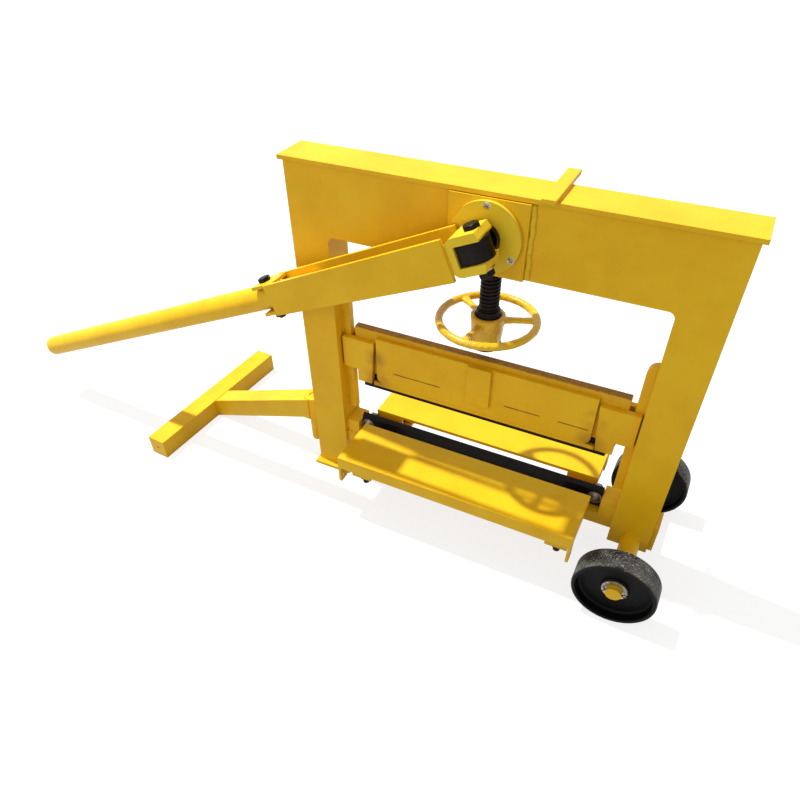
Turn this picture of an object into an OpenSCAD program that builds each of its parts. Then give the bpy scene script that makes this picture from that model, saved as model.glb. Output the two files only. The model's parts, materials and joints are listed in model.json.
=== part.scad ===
// Hand-lever masonry block splitter: a welded portal frame with a fixed lower blade, a guided
// upper blade, an eccentric press worked by a long lever, a hand wheel that sets the height, two
// sprung tables, a swinging T-foot on the left and two wheels on the right.
// X runs along the blades, Y through the portal from front to rear, Z up from the floor.

/* [Portal frame] */
// Height of the portal plates above the floor
portal_h = 594; // [580:2:640]
// Width of each leg
leg_w = 65; // [58:1:76]
// Thickness of the front and rear plates
plate_t = 8; // [6:1:10]
// Clear space between the front and rear plates
plate_gap = 40; // [38:1:48]
// Height of the beam across the top
beam_h = 106; // [104:1:116]
// Radius of the two inner corners of the portal plates
corner_r = 10; // [4:1:20]
// How far the right leg reaches below the axle's axis
axle_under = 16; // [14:1:22]
// Thickness of the walls that close the legs
wall_t = 6; // [4:1:6]
// Thickness of the cover on top of the beam
cover_t = 6; // [4:1:10]
// How far the cover stands out past each leg
cover_side = 6; // [2:1:12]
// How far the cover stands out past the front and rear plates
cover_front = 5; // [2:1:8]
// Thickness of the sole plate under the left leg
sole_t = 6; // [5:1:10]
// How far the sole plate stands out past the left leg's outer side
sole_side = 6; // [2:1:10]
// How far the sole plate stands out in front and behind
sole_front = 12; // [4:1:20]

/* [Bar across the top] */
// Width of the flat bar that lies across the cover
cross_bar_w = 18; // [14:1:24]
// Thickness of the flat bar
cross_bar_t = 6; // [4:1:8]
// Distance of the bar from the middle of the portal
cross_bar_x = 78; // [60:1:100]
// How far the bar stands out past the cover's front edge
cross_bar_front = 10; // [0:1:16]
// How far the bar stands out past the cover's rear edge
cross_bar_rear = 38; // [20:1:60]

/* [Guide rails] */
// Thickness of the rails that guide the upper beam
rail_t = 12; // [10:1:14]
// How far the rails rise above the upper beam at rest
rail_over = 64; // [40:1:80]
// Height of the rails' feet above the lower blade's edge
rail_lift = 13; // [6:1:24]
// Radius of the rails' upper inner corner
rail_round = 15; // [6:1:18]
// Gap between the end of the upper beam and a rail
rail_gap = 9; // [4:1:12]
// Sliding clearance on each side of a rail
guide_fit = 0.3; // [0.1:0.05:0.5]

/* [Upper beam and blade] */
// Space between an end of the beam's plate and the leg
beam_side = 24; // [20:1:30]
// Where the beam stands: its part of the free height, 0 when the blades meet
beam_set = 0.423; // [0.1:0.001:0.6]
// Height of the main plate
beam_plate_h = 88; // [80:1:96]
// How far a panel stops short of the plate's end
panel_short = 43; // [36:1:60]
// Thickness of the panels
panel_t = 8; // [6:1:10]
// Step from the main plate's top edge down to the panels
panel_step = 10; // [6:1:14]
// Radius of the panels' lower corners
panel_round = 14; // [6:1:20]
// Thickness of the tongue plates that straddle the rails
tongue_t = 10; // [8:1:12]
// Height of the part of a tongue that reaches over the rail
tongue_h = 60; // [40:1:62]
// Height of a tongue's outer part above the plate's lower edge
tongue_low = 8; // [2:1:14]
// Height of a tongue's foot above the blade's shoulder
tongue_lift = 4; // [1:0.5:8]
// How far a tongue's foot reaches past the blade's end
tongue_foot_out = 10; // [4:1:12]
// Gap between a tongue's end and the leg
tongue_gap = 3; // [2:0.5:6]
// Groove between a tongue and the panel at the top
groove_top = 3; // [2:0.5:6]
// Groove between a tongue and the panel at the bottom
groove_low = 10; // [6:1:14]
// How far the upper blade stops short of the plate's end
blade_short = 16; // [8:1:26]
// Height of the upper blade below the main plate
upper_blade_h = 31; // [28:1:36]
// Height of the shoulder on the upper blade
shoulder_h = 6; // [4:0.5:8]
// Height of the clamp strips on the upper blade
clamp_h = 8; // [6:1:12]
// Thickness of the clamp strips
clamp_t = 6; // [5:1:7]
// Gap between a clamp strip's end and the tongue
clamp_in = 2; // [1:0.5:4]
// Thickness of both blades
blade_t = 12; // [10:1:12]
// Height of the ground bevel on a blade's edge
bevel_h = 5; // [3:0.5:8]
// Width of the flat left on a blade's edge
edge_flat = 3; // [1:0.5:4]
// Width of the strap in the middle of each panel
strap_w = 40; // [30:1:50]
// Height of a centre strap's foot above the panel's lower edge
strap_low = 18; // [10:1:30]
// Thickness of the strap
strap_t = 6; // [4:1:8]

/* [Base and lower blade] */
// Height of the base bar's underside above the floor
base_z = 74; // [72:1:80]
// Height of the base bar
base_bar_h = 24; // [20:1:28]
// Depth of the base bar, front to rear
base_bar_d = 44; // [40:1:45]
// Length of the lower blade
lower_blade_len = 456; // [446:2:466]
// Width left for the seat between the blade's end and the leg
seat_end_w = 27; // [22:1:34]
// Height of the lower blade
lower_blade_h = 39; // [36:1:42]
// Thickness of the bar behind the lower blade
seat_back_t = 6; // [5:1:10]
// Height of the bar behind the lower blade
seat_back_h = 25; // [23:1:30]
// Depth of the blocks at the lower blade's ends
end_block_d = 40; // [36:1:44]
// Height of the seat's end blocks
end_block_h = 28; // [24:1:36]
// Gap between the lower blade's ends and the blocks
blade_end_gap = 1; // [0.3:0.1:2]
// Diameter of the bolts that hold the lower blade
blade_bolt_d = 10; // [8:1:12]
// Distance from the lower blade's end to its bolt
blade_bolt_in = 12; // [10:1:16]
// Height of the bolts above the blade's lower edge
blade_bolt_z = 18; // [14:1:20]

/* [Tables] */
// How far a table stops short of the lower blade's end
table_short = 16; // [12:1:24]
// Width of a table, front to rear
table_w = 104; // [90:1:110]
// Thickness of a table's top
table_t = 6; // [4:1:6]
// How far the tables lie below the lower blade's edge
table_under = 5; // [2:1:10]
// Distance from the blade's middle to a table's inner edge
table_gap = 23; // [21:1:36]
// Thickness of a table's outer flange and end plates
flange_t = 5; // [4:1:6]
// Height of the flange and end plates, with the top
flange_h = 24; // [20:1:28]
// Height of the tabs at a table's outer corners, with the top
tab_h = 56; // [48:1:56]
// Width of the tabs
tab_w = 20; // [16:1:24]
// Diameter of the hole in a tab
tab_hole_d = 8; // [5:1:10]
// Width of the lugs under a table's inner edge
lug_w = 48; // [30:1:54]
// Height of the lugs below the table's top plate
lug_h = 26; // [16:1:28]
// Distance of a guide pin from the table's end
pin_in = 28; // [25:1:40]
// Distance of the guide pins from the blade's middle
pin_y = 80; // [70:1:90]
// Diameter of the guide pins
pin_d = 12; // [10:1:12]
// Running clearance of a guide pin in its hole, on the radius
pin_fit = 0.05; // [0.02:0.01:0.1]
// Length of a guide pin below the spring arm
pin_tail = 22; // [18:1:26]
// Width of the arms that carry the springs
arm_w = 38; // [32:1:40]
// Thickness of the arms
arm_t = 8; // [6:1:10]
// Reach of the arms from the blade's middle
arm_reach = 97; // [93:1:118]
// Outside diameter of a table spring
spring_d = 23; // [20:1:24]
// Diameter of the spring wire
wire_d = 3; // [2:0.5:3]
// Number of turns in a table spring
spring_turns = 6; // [4:1:7]

/* [Eccentric press] */
// Throw of the eccentric
ecc_off = 10; // [8:0.5:11]
// Diameter of the eccentric
ecc_d = 56; // [54:1:58]
// Diameter of the shaft's journals
journal_d = 35; // [30:1:35]
// Diameter of the shaft's ends
stub_d = 22; // [18:1:22]
// Running clearance of the shaft in its bushes, on the radius
shaft_fit = 0.05; // [0.02:0.01:0.1]
// Clearance of the eccentric in the thrust block
window_fit = 0.4; // [0.3:0.05:0.6]
// Wall of a bush
bush_wall = 4.5; // [3:0.5:6]
// Room round the eccentric in the bore it goes in through
housing_gap = 1; // [0.5:0.1:2]
// Thickness of the bearing plates
bearing_t = 8; // [6:1:10]
// Width of the round flange outside its spigot
disc_rim = 11; // [11:0.5:16]
// How far the square plate reaches past the flange on each side
bearing_side = 6; // [4:1:14]
// How far the square plate reaches past the flange above and below
bearing_over = 2; // [1:0.5:3]
// Thickness of the round flange
disc_t = 6; // [5:1:8]
// Diameter of the flange screws
flange_screw_d = 6; // [5:1:6]
// Wall of the thrust block beside its window
block_side = 13; // [10:1:16]
// Wall of the thrust block over the eccentric
block_wall = 10; // [8:1:10]
// Height of the block below the eccentric's window
block_low_h = 18; // [16:1:24]
// Wall left between the screw's top and the eccentric's window
screw_floor = 4; // [3:0.5:6]
// Width of the guide bars beside the thrust block
block_guide_w = 10; // [8:1:12]
// Angle through which the lever swings
lever_swing = 75; // [50:1:78]

/* [Screw and hand wheel] */
// Diameter of the press screw
screw_d = 30; // [26:1:30]
// Where the hand wheel stands: its part of the height above the beam, 0 when the pad is on the beam
wheel_set = 0.262; // [0.05:0.001:0.6]
// How far the screw's end stands below the hub
screw_tail = 4; // [0:0.5:6]
// Outside diameter of the hand wheel
wheel_rim_d = 160; // [140:2:180]
// Diameter of the hand wheel's rim bar
rim_bar_d = 13; // [10:1:16]
// Width of a spoke where it meets the rim
spoke_w = 12; // [10:1:16]
// Width of a spoke at the hub
spoke_root_w = 18; // [14:1:20]
// Thickness of a spoke
spoke_t = 9; // [7:1:11]
// Angle of the first spoke at rest
spoke_turn = 22; // [0:1:119]
// Height of the rim above the hub's foot
rim_lift = 35; // [30:0.5:40]
// Height of the hub
hub_h = 46; // [42:1:50]
// Diameter of the hub at the top
hub_top_d = 54; // [50:1:58]
// Diameter of the hub at the bottom
hub_low_d = 46; // [44:1:48]
// Diameter of the steel nut in the hub
nut_d = 38; // [37.5:0.5:41]
// Width of the nut's collar at its top
nut_top_d = 35; // [34:0.5:37]
// Height of the nut's flange
nut_flange_h = 8; // [5:1:10]
// Running clearance of the nut on the screw, on the radius
nut_fit = 0.05; // [0.02:0.01:0.1]
// Height of the pressure pad's flange
pad_h = 8; // [6:1:8]
// Height of the pressure pad's neck inside the hub
pad_neck_h = 7; // [5:1:9]
// Diameter of the pressure pad's neck
pad_neck_d = 37; // [36:0.5:38]

/* [Lever] */
// Angle of the lever below the level at rest
lever_drop = 23.6; // [15:0.2:24]
// Length of the lever from the shaft to its tip
lever_len = 1074; // [900:2:1120]
// Gap between the round flange and the lever's yoke
lever_gap = 3.7; // [3:0.1:6]
// Diameter of the handle tube
handle_d = 40; // [34:1:42]
// Wall of the handle tube
handle_wall = 3.5; // [2.5:0.5:5]
// Length of the handle tube inside the arm
handle_in = 85; // [70:1:110]
// Clearance between the handle tube and the arm
handle_fit = 0.3; // [0.1:0.1:0.5]
// Length of the arm from the shaft
arm_len = 358; // [330:1:400]
// Height of the arm's plates at the yoke
arm_h_root = 59; // [56:1:64]
// Height of the arm's plates at the handle
arm_h_end = 51; // [50:1:56]
// Thickness of the arm's plates
arm_plate_t = 6; // [5:1:8]
// Thickness of the straps over and under the handle
strap_bar_t = 5; // [4:1:5]
// Length of the straps past the arm's end
strap_out = 30; // [24:1:36]
// How far the straps reach between the arm's plates
strap_lap = 14; // [8:1:30]
// Thickness of the yoke's bent bar
yoke_t = 12; // [10:1:13]
// How far the yoke overlaps each side plate of the arm
yoke_lap = 2.7; // [2:0.1:5]
// Reach of the yoke's ears past the shaft
yoke_reach = 19; // [17:1:24]
// How much shorter the yoke's ears are on their outer sides
yoke_slant = 4; // [0:0.5:4.5]
// Outer radius of the yoke's bends
yoke_round = 14; // [14:1:16]
// Width of the head on the shaft's end, front to rear
head_w = 38; // [34:1:40]
// Reach of the head behind the shaft's axis
head_back = 18; // [16:1:22]
// Gap between the head's back and the yoke
head_gap = 0.7; // [0.4:0.1:1]
// Height of the head between the yoke's ears
head_flat = 29; // [26:1:30]
// Clearance round the head in the yoke
head_fit = 0.3; // [0.2:0.1:0.5]
// Depth of the shaft's end in the head
stub_in = 10; // [8:0.5:11]
// How far the journal stands out of the flange
journal_out = 1.5; // [1:0.1:2]
// Diameter of the bolt through the yoke
yoke_bolt_d = 14; // [12:1:14]
// Distance of the yoke's bolt past the shaft
yoke_bolt_x = 4; // [2:0.5:6]
// Diameter of the bolt through the handle
handle_bolt_d = 12; // [10:1:12]

/* [T-foot] */
// Swing of the T-foot towards the rear at rest
foot_swing = 3; // [0:0.5:10]
// Distance of the hinge's axis from the left leg
hinge_out = 21; // [20:1:26]
// Diameter of the hinge barrel
barrel_d = 24; // [22:1:30]
// Height of the barrel's lower end above the floor
barrel_z = 38; // [30:1:44]
// Height of the barrel
barrel_h = 54; // [48:1:60]
// Thickness of the web between barrel and leg
web_t = 10; // [8:1:12]
// Diameter of the hinge pin
hinge_pin_d = 16; // [14:1:18]
// Depth of the hinge pin's end below the collar's top
pin_sink = 2; // [0.5:0.5:4]
// Running clearance of the hinge pin in the collar, on the radius
hinge_fit = 0.05; // [0.02:0.01:0.1]
// Gap between barrel and collar
hinge_gap = 0.3; // [0.2:0.1:0.5]
// Height of the collar on the foot's arm
collar_h = 48; // [46:1:54]
// Diameter of the collar
collar_d = 36; // [32:1:38]
// Width of the foot's square tubes
foot_tube = 40; // [36:1:44]
// Wall of the foot's square tubes
foot_wall = 3; // [2:0.5:4]
// Distance from the hinge to the foot's cross bar
foot_reach = 260; // [220:2:300]
// Length of the foot's cross bar
foot_bar_len = 350; // [280:10:420]
// Thickness of the caps on the cross bar's ends
cap_t = 3; // [2:0.5:5]
// Diameter of the small hole in a cap
cap_hole_d = 5; // [3:0.5:8]

/* [Wheels] */
// Diameter of the wheels
wheel_d = 132; // [124:2:136]
// Width of a wheel
wheel_w = 38; // [34:1:42]
// Distance between the middles of the two wheels
wheel_track = 262; // [250:2:290]
// Distance of the axle from the right leg's outer side
axle_in = 28; // [24:1:32]
// Diameter of the axle
axle_d = 25; // [22:1:25]
// Running clearance of a wheel on the axle, on the radius
axle_fit = 0.05; // [0.02:0.01:0.1]
// Thickness of the tyre
tyre_t = 7; // [6:0.5:9]
// Radius of the tyre's shoulders
tyre_round = 3; // [1:0.5:3]
// Depth of the dish in a wheel's outer side
dish = 14; // [10:1:16]
// Thickness of a wheel's web
web_plate_t = 10; // [8:1:14]
// Diameter of a wheel's hub
wheel_hub_d = 44; // [40:1:50]
// Side clearance of a wheel on the axle
wheel_gap = 0.3; // [0.2:0.1:0.8]
// Diameter of the axle's spacer sleeves
sleeve_d = 32; // [30:1:36]
// Diameter of the washers outside the wheels
washer_d = 40; // [36:1:44]
// Thickness of the washers
washer_t = 3; // [2:0.5:4]
// Diameter of the split pins in the axle's ends
split_pin_d = 4; // [3:0.5:5]
// Length of the axle past a washer
axle_tail = 9; // [8:1:12]
// Thickness of the side plate over the axle
side_plate_t = 8; // [6:1:10]
// Height of the side plate
side_plate_h = 54; // [44:1:64]

/* [Hidden] */
$fn = 64;

yellow = [0.93, 0.71, 0.05];
black = [0.10, 0.10, 0.10];
zinc = [0.66, 0.66, 0.64];
bronze = [0.72, 0.52, 0.25];
charcoal = [0.22, 0.22, 0.22];

// Portal: half sizes and the levels that everything else hangs on
leg_in = lower_blade_len / 2 + seat_end_w;
half_w = leg_in + leg_w;
half_gap = plate_gap / 2;
half_d = half_gap + plate_t;
beam_z = portal_h - beam_h;
shaft_z = portal_h - beam_h / 2;
cover_top = portal_h + cover_t;
axle_z = wheel_d / 2;
axle_x = half_w - axle_in;
right_leg_z = axle_z - axle_under;

// Base and lower blade
base_top = base_z + base_bar_h;
lower_edge = base_top + lower_blade_h;
end_block_top = base_top + end_block_h;
end_block_in = lower_blade_len / 2 + blade_end_gap;
bolt_x = lower_blade_len / 2 - blade_bolt_in;

// Tables
table_half = lower_blade_len / 2 - table_short;
pin_x = table_half - pin_in;
table_top = lower_edge - table_under;
table_low = table_top - table_t;
table_in = table_gap;
table_out = table_gap + table_w;
arm_low = base_z - arm_t;
spring_h = table_low - base_z;
coil_r = (spring_d - wire_d) / 2;
spring_pitch = (spring_h - wire_d) / spring_turns;
pin_nut_h = 10;
pin_nut_gap = 0.3;

// Press: the eccentric points down and left at rest and swings up through half its angle
swing_half = lever_swing / 2;
ecc_x = -ecc_off * cos(swing_half);
ecc_z = shaft_z - ecc_off * sin(swing_half);
window_r = ecc_d / 2 + window_fit;
window_x = -ecc_off * (1 + cos(swing_half)) / 2;
window_run = ecc_off * (1 - cos(swing_half)) / 2 + window_fit;
bush_r = journal_d / 2 + bush_wall;
housing_r = ecc_off + ecc_d / 2 + housing_gap;
disc_r = housing_r + disc_rim;
flange_screw_r = housing_r + disc_rim / 2;
spigot_gap = 0.05;
bearing_face = half_d + bearing_t;
disc_face = bearing_face + disc_t;
side_fit = 0.3;
sink_r = flange_screw_d * 0.85;
sink_h = sink_r - flange_screw_d / 2;
block_d = plate_gap - 2 * side_fit;
block_half = window_r + window_run - window_x + block_side;
block_top = ecc_z + window_r + block_wall;
block_low = ecc_z - window_r - block_low_h;
screw_top = ecc_z - window_r - screw_floor;
press_stroke = 2 * ecc_off * sin(swing_half);

// Free height between the lower blade and the thrust block: the screw shares it out
beam_stack = beam_plate_h + upper_blade_h;
wheel_stack = pad_h + side_fit + hub_h + nut_flange_h;
free_h = block_low - lower_edge - beam_stack - wheel_stack;
blade_gap = beam_set * free_h;
pad_gap = wheel_set * (free_h - blade_gap);
beam_top = lower_edge + blade_gap + beam_stack;
hub_z = beam_top + pad_gap + pad_h + side_fit;
screw_low = hub_z - screw_tail;

// Upper beam
beam_half = leg_in - beam_side;
panel_half = beam_half - panel_short;
upper_blade_half = beam_half - blade_short;
main_t = rail_t + 2 * guide_fit;
half_main = main_t / 2;
plate_low = beam_top - beam_plate_h;
blade_edge = plate_low - upper_blade_h;
clamp_low = blade_edge + bevel_h + shoulder_h;
panel_low = clamp_low + clamp_h;
panel_top = beam_top - panel_step;
tongue_foot = upper_blade_half + tongue_foot_out;
tongue_foot_z = clamp_low + tongue_lift;
tongue_z = plate_low + tongue_low;
tongue_top = tongue_z + tongue_h;
tongue_end = leg_in - tongue_gap;
rail_in = beam_half + rail_gap;
rail_top = beam_top + rail_over;
rail_low = lower_edge + rail_lift;

// Lever, in its own frame: X towards the shaft's far side, Z across the lever
arm_in_w = handle_d + 2 * handle_fit;
arm_out_w = arm_in_w + 2 * arm_plate_t;
lever_y = -(disc_face + lever_gap + arm_out_w / 2);
yoke_w = arm_in_w + 2 * yoke_lap;
yoke_in = head_back + head_gap;
yoke_back = yoke_in + yoke_t;
yoke_half = head_flat / 2 + head_fit;
head_front = lever_y - head_w / 2;
head_rear = lever_y + head_w / 2;
journal_front = -(disc_face + journal_out);
stub_end = head_rear - stub_in;
strap_z = handle_d / 2 + handle_fit;
tube_in = arm_len - handle_in;
strap_in = arm_len - strap_lap;
handle_bolt_x = arm_len + strap_out / 2;
dome_h = 9;

// T-foot
hinge_x = -(half_w + hinge_out);
barrel_top = barrel_z + barrel_h;
collar_z = barrel_top + hinge_gap;
collar_top = collar_z + collar_h;

// Wheels
wheel_in = (wheel_track - wheel_w) / 2;
wheel_out = wheel_in + wheel_w;
hub_face = wheel_out - dish;
washer_in = hub_face + wheel_gap;
axle_end = washer_in + washer_t + axle_tail;

echo(press_stroke = press_stroke, lever_y = lever_y, tongue_end = tongue_end);

// Outline drawn in X and Z, made a plate that fills y0 to y0 + t
module plate_y(y0, t) {
    translate([0, y0 + t, 0]) rotate([90, 0, 0]) linear_extrude(t) children();
}

// Bar or bore along Y between y0 and y1 at x, z
module rod_y(x, z, r, y0, y1) {
    translate([x, y0, z]) rotate([-90, 0, 0]) cylinder(r = r, h = y1 - y0);
}

// Box from one corner to the opposite one
module block(low, high) {
    translate(low) cube(high - low);
}

// A six-sided head or nut along Z
module hexagon(across, h) {
    cylinder(d = across / cos(30), h = h, $fn = 6);
}

// The lever's own frame: the shaft's axis is its origin and the lever lies along -X
module lever_frame() {
    translate([0, 0, shaft_z]) rotate([0, -lever_drop, 0]) children();
}

// The T-foot's own frame: the hinge's axis is its origin and the arm lies along -X
module foot_place() {
    translate([hinge_x, 0, 0]) rotate([0, 0, -foot_swing]) children();
}

// Both copies of a shape, on the left and on the right
module both_sides() {
    children();
    mirror([1, 0, 0]) children();
}

// Opening between the legs, with its two upper corners rounded
module portal_opening() {
    corner = leg_in - corner_r;
    translate([-leg_in, -1]) square([2 * leg_in, beam_z - corner_r + 1]);
    translate([-corner, -1]) square([2 * corner, beam_z + 1]);
    for (s = [-1, 1]) translate([s * corner, beam_z - corner_r]) circle(r = corner_r);
}

// Outline of a portal plate: an inverted U whose right leg ends above the axle's lower side
module portal_outline() {
    difference() {
        translate([-half_w, sole_t]) square([2 * half_w, portal_h - sole_t]);
        portal_opening();
        translate([0, -1]) square([half_w + 1, right_leg_z + 1]);
        translate([axle_x, axle_z]) circle(d = axle_d);
    }
}

module portal_front_plate() {
    color(yellow) plate_y(-half_d, plate_t) difference() {
        portal_outline();
        translate([0, shaft_z]) circle(r = housing_r);
    }
}

module portal_rear_plate() {
    color(yellow) plate_y(half_gap, plate_t) difference() {
        portal_outline();
        translate([0, shaft_z]) circle(r = bush_r);
    }
}

module portal_cover() {
    color(yellow) block([-half_w - cover_side, -half_d - cover_front, portal_h],
                        [half_w + cover_side, half_d + cover_front, cover_top]);
}

// Walls that close the legs' outer sides
module end_walls() {
    color(yellow) {
        block([-half_w, -half_gap, sole_t], [-half_w + wall_t, half_gap, portal_h]);
        block([half_w - wall_t, -half_gap, right_leg_z], [half_w, half_gap, portal_h]);
    }
}

// Walls that close the legs' inner sides
module inner_walls() {
    color(yellow) {
        block([-leg_in - wall_t, -half_gap, sole_t], [-leg_in, half_gap, beam_z]);
        block([leg_in, -half_gap, base_z], [leg_in + wall_t, half_gap, beam_z]);
    }
}

// Rail in the plane of the blades, welded to a leg's inner wall
module guide_rail() {
    plate_y(-rail_t / 2, rail_t) difference() {
        translate([rail_in, rail_low]) square([leg_in - rail_in, rail_top - rail_low]);
        translate([rail_in, rail_top - rail_round]) difference() {
            translate([-1, 0]) square([rail_round + 1, rail_round + 1]);
            translate([rail_round, 0]) circle(r = rail_round);
        }
    }
}

module guide_rails() {
    color(yellow) both_sides() guide_rail();
}

module sole_plate() {
    color(yellow) block([-half_w - sole_side, -half_d - sole_front, 0],
                        [-leg_in + sole_side, half_d + sole_front, sole_t]);
}

module top_cross_bar() {
    color(yellow) block(
        [cross_bar_x - cross_bar_w / 2, -half_d - cover_front - cross_bar_front, cover_top],
        [cross_bar_x + cross_bar_w / 2, half_d + cover_front + cross_bar_rear,
         cover_top + cross_bar_t]);
}

// Square plate welded over the beam, bored for the bearing
module bearing_plate(y0, bore_r) {
    plate_y(y0, bearing_t) difference() {
        translate([-disc_r - bearing_side, shaft_z - disc_r - bearing_over])
            square([2 * (disc_r + bearing_side), 2 * (disc_r + bearing_over)]);
        translate([0, shaft_z]) circle(r = bore_r);
    }
}

// Places of the three flange screws
module at_flange_screws() {
    for (a = [90, 210, 330])
        translate([flange_screw_r * cos(a), 0, shaft_z + flange_screw_r * sin(a)]) children();
}

module bearing_plate_front() {
    color(yellow) difference() {
        bearing_plate(-bearing_face, housing_r);
        at_flange_screws() rod_y(0, 0, flange_screw_d / 2, -bearing_face - 1, -half_d + 1);
    }
}

module bearing_plate_rear() {
    color(yellow) bearing_plate(half_d, bush_r);
}

// Round flange whose spigot fills the bore that the eccentric is put in through
module bearing_flange() {
    color(yellow) difference() {
        union() {
            rod_y(0, shaft_z, disc_r, -disc_face, -bearing_face);
            rod_y(0, shaft_z, housing_r - spigot_gap, -bearing_face, -half_gap);
        }
        rod_y(0, shaft_z, bush_r, -disc_face - 1, -half_gap + 1);
        at_flange_screws() {
            rod_y(0, 0, flange_screw_d / 2, -disc_face - 1, -bearing_face + 1);
            translate([0, -disc_face, 0]) rotate([-90, 0, 0])
                cylinder(r1 = sink_r, r2 = flange_screw_d / 2, h = sink_h);
        }
    }
}

// Plain bushes at the front and the rear of the shaft
module shaft_bushes() {
    color(bronze) difference() {
        union() {
            rod_y(0, shaft_z, bush_r, -disc_face, -half_gap);
            rod_y(0, shaft_z, bush_r, half_gap, bearing_face);
        }
        rod_y(0, shaft_z, journal_d / 2 + shaft_fit, -disc_face - 1, bearing_face + 1);
    }
}

// Countersunk screws of the round flange
module flange_screws() {
    socket_d = flange_screw_d * 0.6;
    color(zinc) at_flange_screws() difference() {
        union() {
            rod_y(0, 0, flange_screw_d / 2, -disc_face + sink_h, -half_d);
            translate([0, -disc_face, 0]) rotate([-90, 0, 0])
                cylinder(r1 = sink_r, r2 = flange_screw_d / 2, h = sink_h);
        }
        translate([0, -disc_face - 1, 0]) rotate([-90, 0, 0]) hexagon(socket_d, 3);
    }
}

// Bars between the portal plates that keep the thrust block upright
module block_guides() {
    inner = block_half + side_fit;
    color(yellow) both_sides()
        block([inner, -half_gap, beam_z], [inner + block_guide_w, half_gap, portal_h]);
}

// Bar between the legs that carries the lower blade
module base_bar() {
    color(yellow) block([-leg_in, -base_bar_d / 2, base_z], [leg_in, base_bar_d / 2, base_top]);
}

// Seat of the lower blade: a bar behind it and a block at each end
module blade_seat() {
    back_z = base_top + seat_back_h;
    color(yellow) difference() {
        union() {
            block([-end_block_in - 1, blade_t / 2, base_top],
                  [end_block_in + 1, blade_t / 2 + seat_back_t, back_z]);
            both_sides() block([end_block_in, -end_block_d / 2, base_top],
                               [leg_in, end_block_d / 2, end_block_top]);
        }
        both_sides() rod_y(bolt_x, base_top + blade_bolt_z, blade_bolt_d / 2,
                           -1, blade_t / 2 + seat_back_t + 1);
    }
}

// Half of a blade's section in Y and Z with its edge at the top; a shoulder widens it below the bevel
function blade_side(h, shoulder) =
    concat([[blade_t / 2, 0]],
           shoulder > 0 ? [[blade_t / 2, h - bevel_h - shoulder_h], [shoulder, h - bevel_h - shoulder_h],
                           [shoulder, h - bevel_h]] : [],
           [[blade_t / 2, h - bevel_h], [edge_flat / 2, h]]);

// A blade carried along X
module blade_bar(half, h, shoulder) {
    side = blade_side(h, shoulder);
    last = len(side) - 1;
    translate([-half, 0, 0]) rotate([90, 0, 90]) linear_extrude(2 * half)
        polygon(concat(side, [for (i = [last : -1 : 0]) [-side[i][0], side[i][1]]]));
}

module lower_blade() {
    color(black) difference() {
        translate([0, 0, base_top]) blade_bar(lower_blade_len / 2, lower_blade_h, 0);
        both_sides() rod_y(bolt_x, base_top + blade_bolt_z, blade_bolt_d / 2, -blade_t, blade_t);
    }
}

// Round-headed bolts through the lower blade, with nuts behind its seat
module lower_blade_bolts() {
    head_r = blade_bolt_d * 0.95;
    head_h = blade_bolt_d * 0.5;
    back = blade_t / 2 + seat_back_t;
    color(zinc) for (x = [-bolt_x, bolt_x]) translate([x, 0, base_top + blade_bolt_z]) {
        rod_y(0, 0, blade_bolt_d / 2, -blade_t / 2, back + blade_bolt_d);
        translate([0, -blade_t / 2, 0]) rotate([90, 0, 0]) intersection() {
            cylinder(r = head_r, h = head_h);
            dome_r = (head_r * head_r + head_h * head_h) / (2 * head_h) * 1.15;
            translate([0, 0, head_h - dome_r]) sphere(r = dome_r);
        }
        translate([0, back, 0]) rotate([-90, 0, 0]) difference() {
            hexagon(blade_bolt_d * 1.7, blade_bolt_d * 0.8);
            translate([0, 0, -1]) cylinder(d = blade_bolt_d, h = blade_bolt_d);
        }
    }
}

// Places of the four guide pins, or of two on one side
module at_pins(side) {
    for (x = [-pin_x, pin_x]) translate([x, side * pin_y, 0]) children();
}

// Flat bars under the base bar that carry the table springs
module spring_arms() {
    color(yellow) difference() {
        both_sides() block([pin_x - arm_w / 2, -arm_reach, arm_low],
                           [pin_x + arm_w / 2, arm_reach, base_z]);
        for (side = [-1, 1]) at_pins(side)
            translate([0, 0, arm_low - 1]) cylinder(r = pin_d / 2 + pin_fit, h = arm_t + 2);
    }
}

module axle() {
    color(yellow) difference() {
        rod_y(axle_x, axle_z, axle_d / 2, -axle_end, axle_end);
        for (s = [-1, 1]) translate([axle_x, s * (axle_end - axle_tail / 2), axle_z])
            rotate([0, 90, 0]) cylinder(d = split_pin_d, h = axle_d + 2, center = true);
    }
}

// Spacer sleeves between the leg and the wheels
module axle_sleeves() {
    color(yellow) difference() {
        union() {
            rod_y(axle_x, axle_z, sleeve_d / 2, -wheel_in + wheel_gap, -half_d);
            rod_y(axle_x, axle_z, sleeve_d / 2, half_d, wheel_in - wheel_gap);
        }
        rod_y(axle_x, axle_z, axle_d / 2, -wheel_out, wheel_out);
    }
}

module axle_washers() {
    color(zinc) difference() {
        for (s = [-1, 1]) translate([0, s * (washer_in + washer_t / 2), 0])
            rod_y(axle_x, axle_z, washer_d / 2, -washer_t / 2, washer_t / 2);
        rod_y(axle_x, axle_z, axle_d / 2, -axle_end, axle_end);
    }
}

// Split pins across the axle's ends: a shank, an eye and a bent tail
module split_pins() {
    reach = axle_d / 2 + split_pin_d * 1.5;
    color(zinc) for (s = [-1, 1])
        translate([axle_x, s * (axle_end - axle_tail / 2), axle_z]) {
            translate([-reach, 0, 0]) rotate([0, 90, 0])
                cylinder(d = split_pin_d, h = 2 * reach);
            translate([reach, 0, 0]) sphere(d = split_pin_d * 1.6);
        }
}

// Plate on the outer side of the right leg, over the axle
module axle_side_plate() {
    color(yellow) block([half_w, -half_gap, right_leg_z],
                        [half_w + side_plate_t, half_gap, right_leg_z + side_plate_h]);
}

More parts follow.
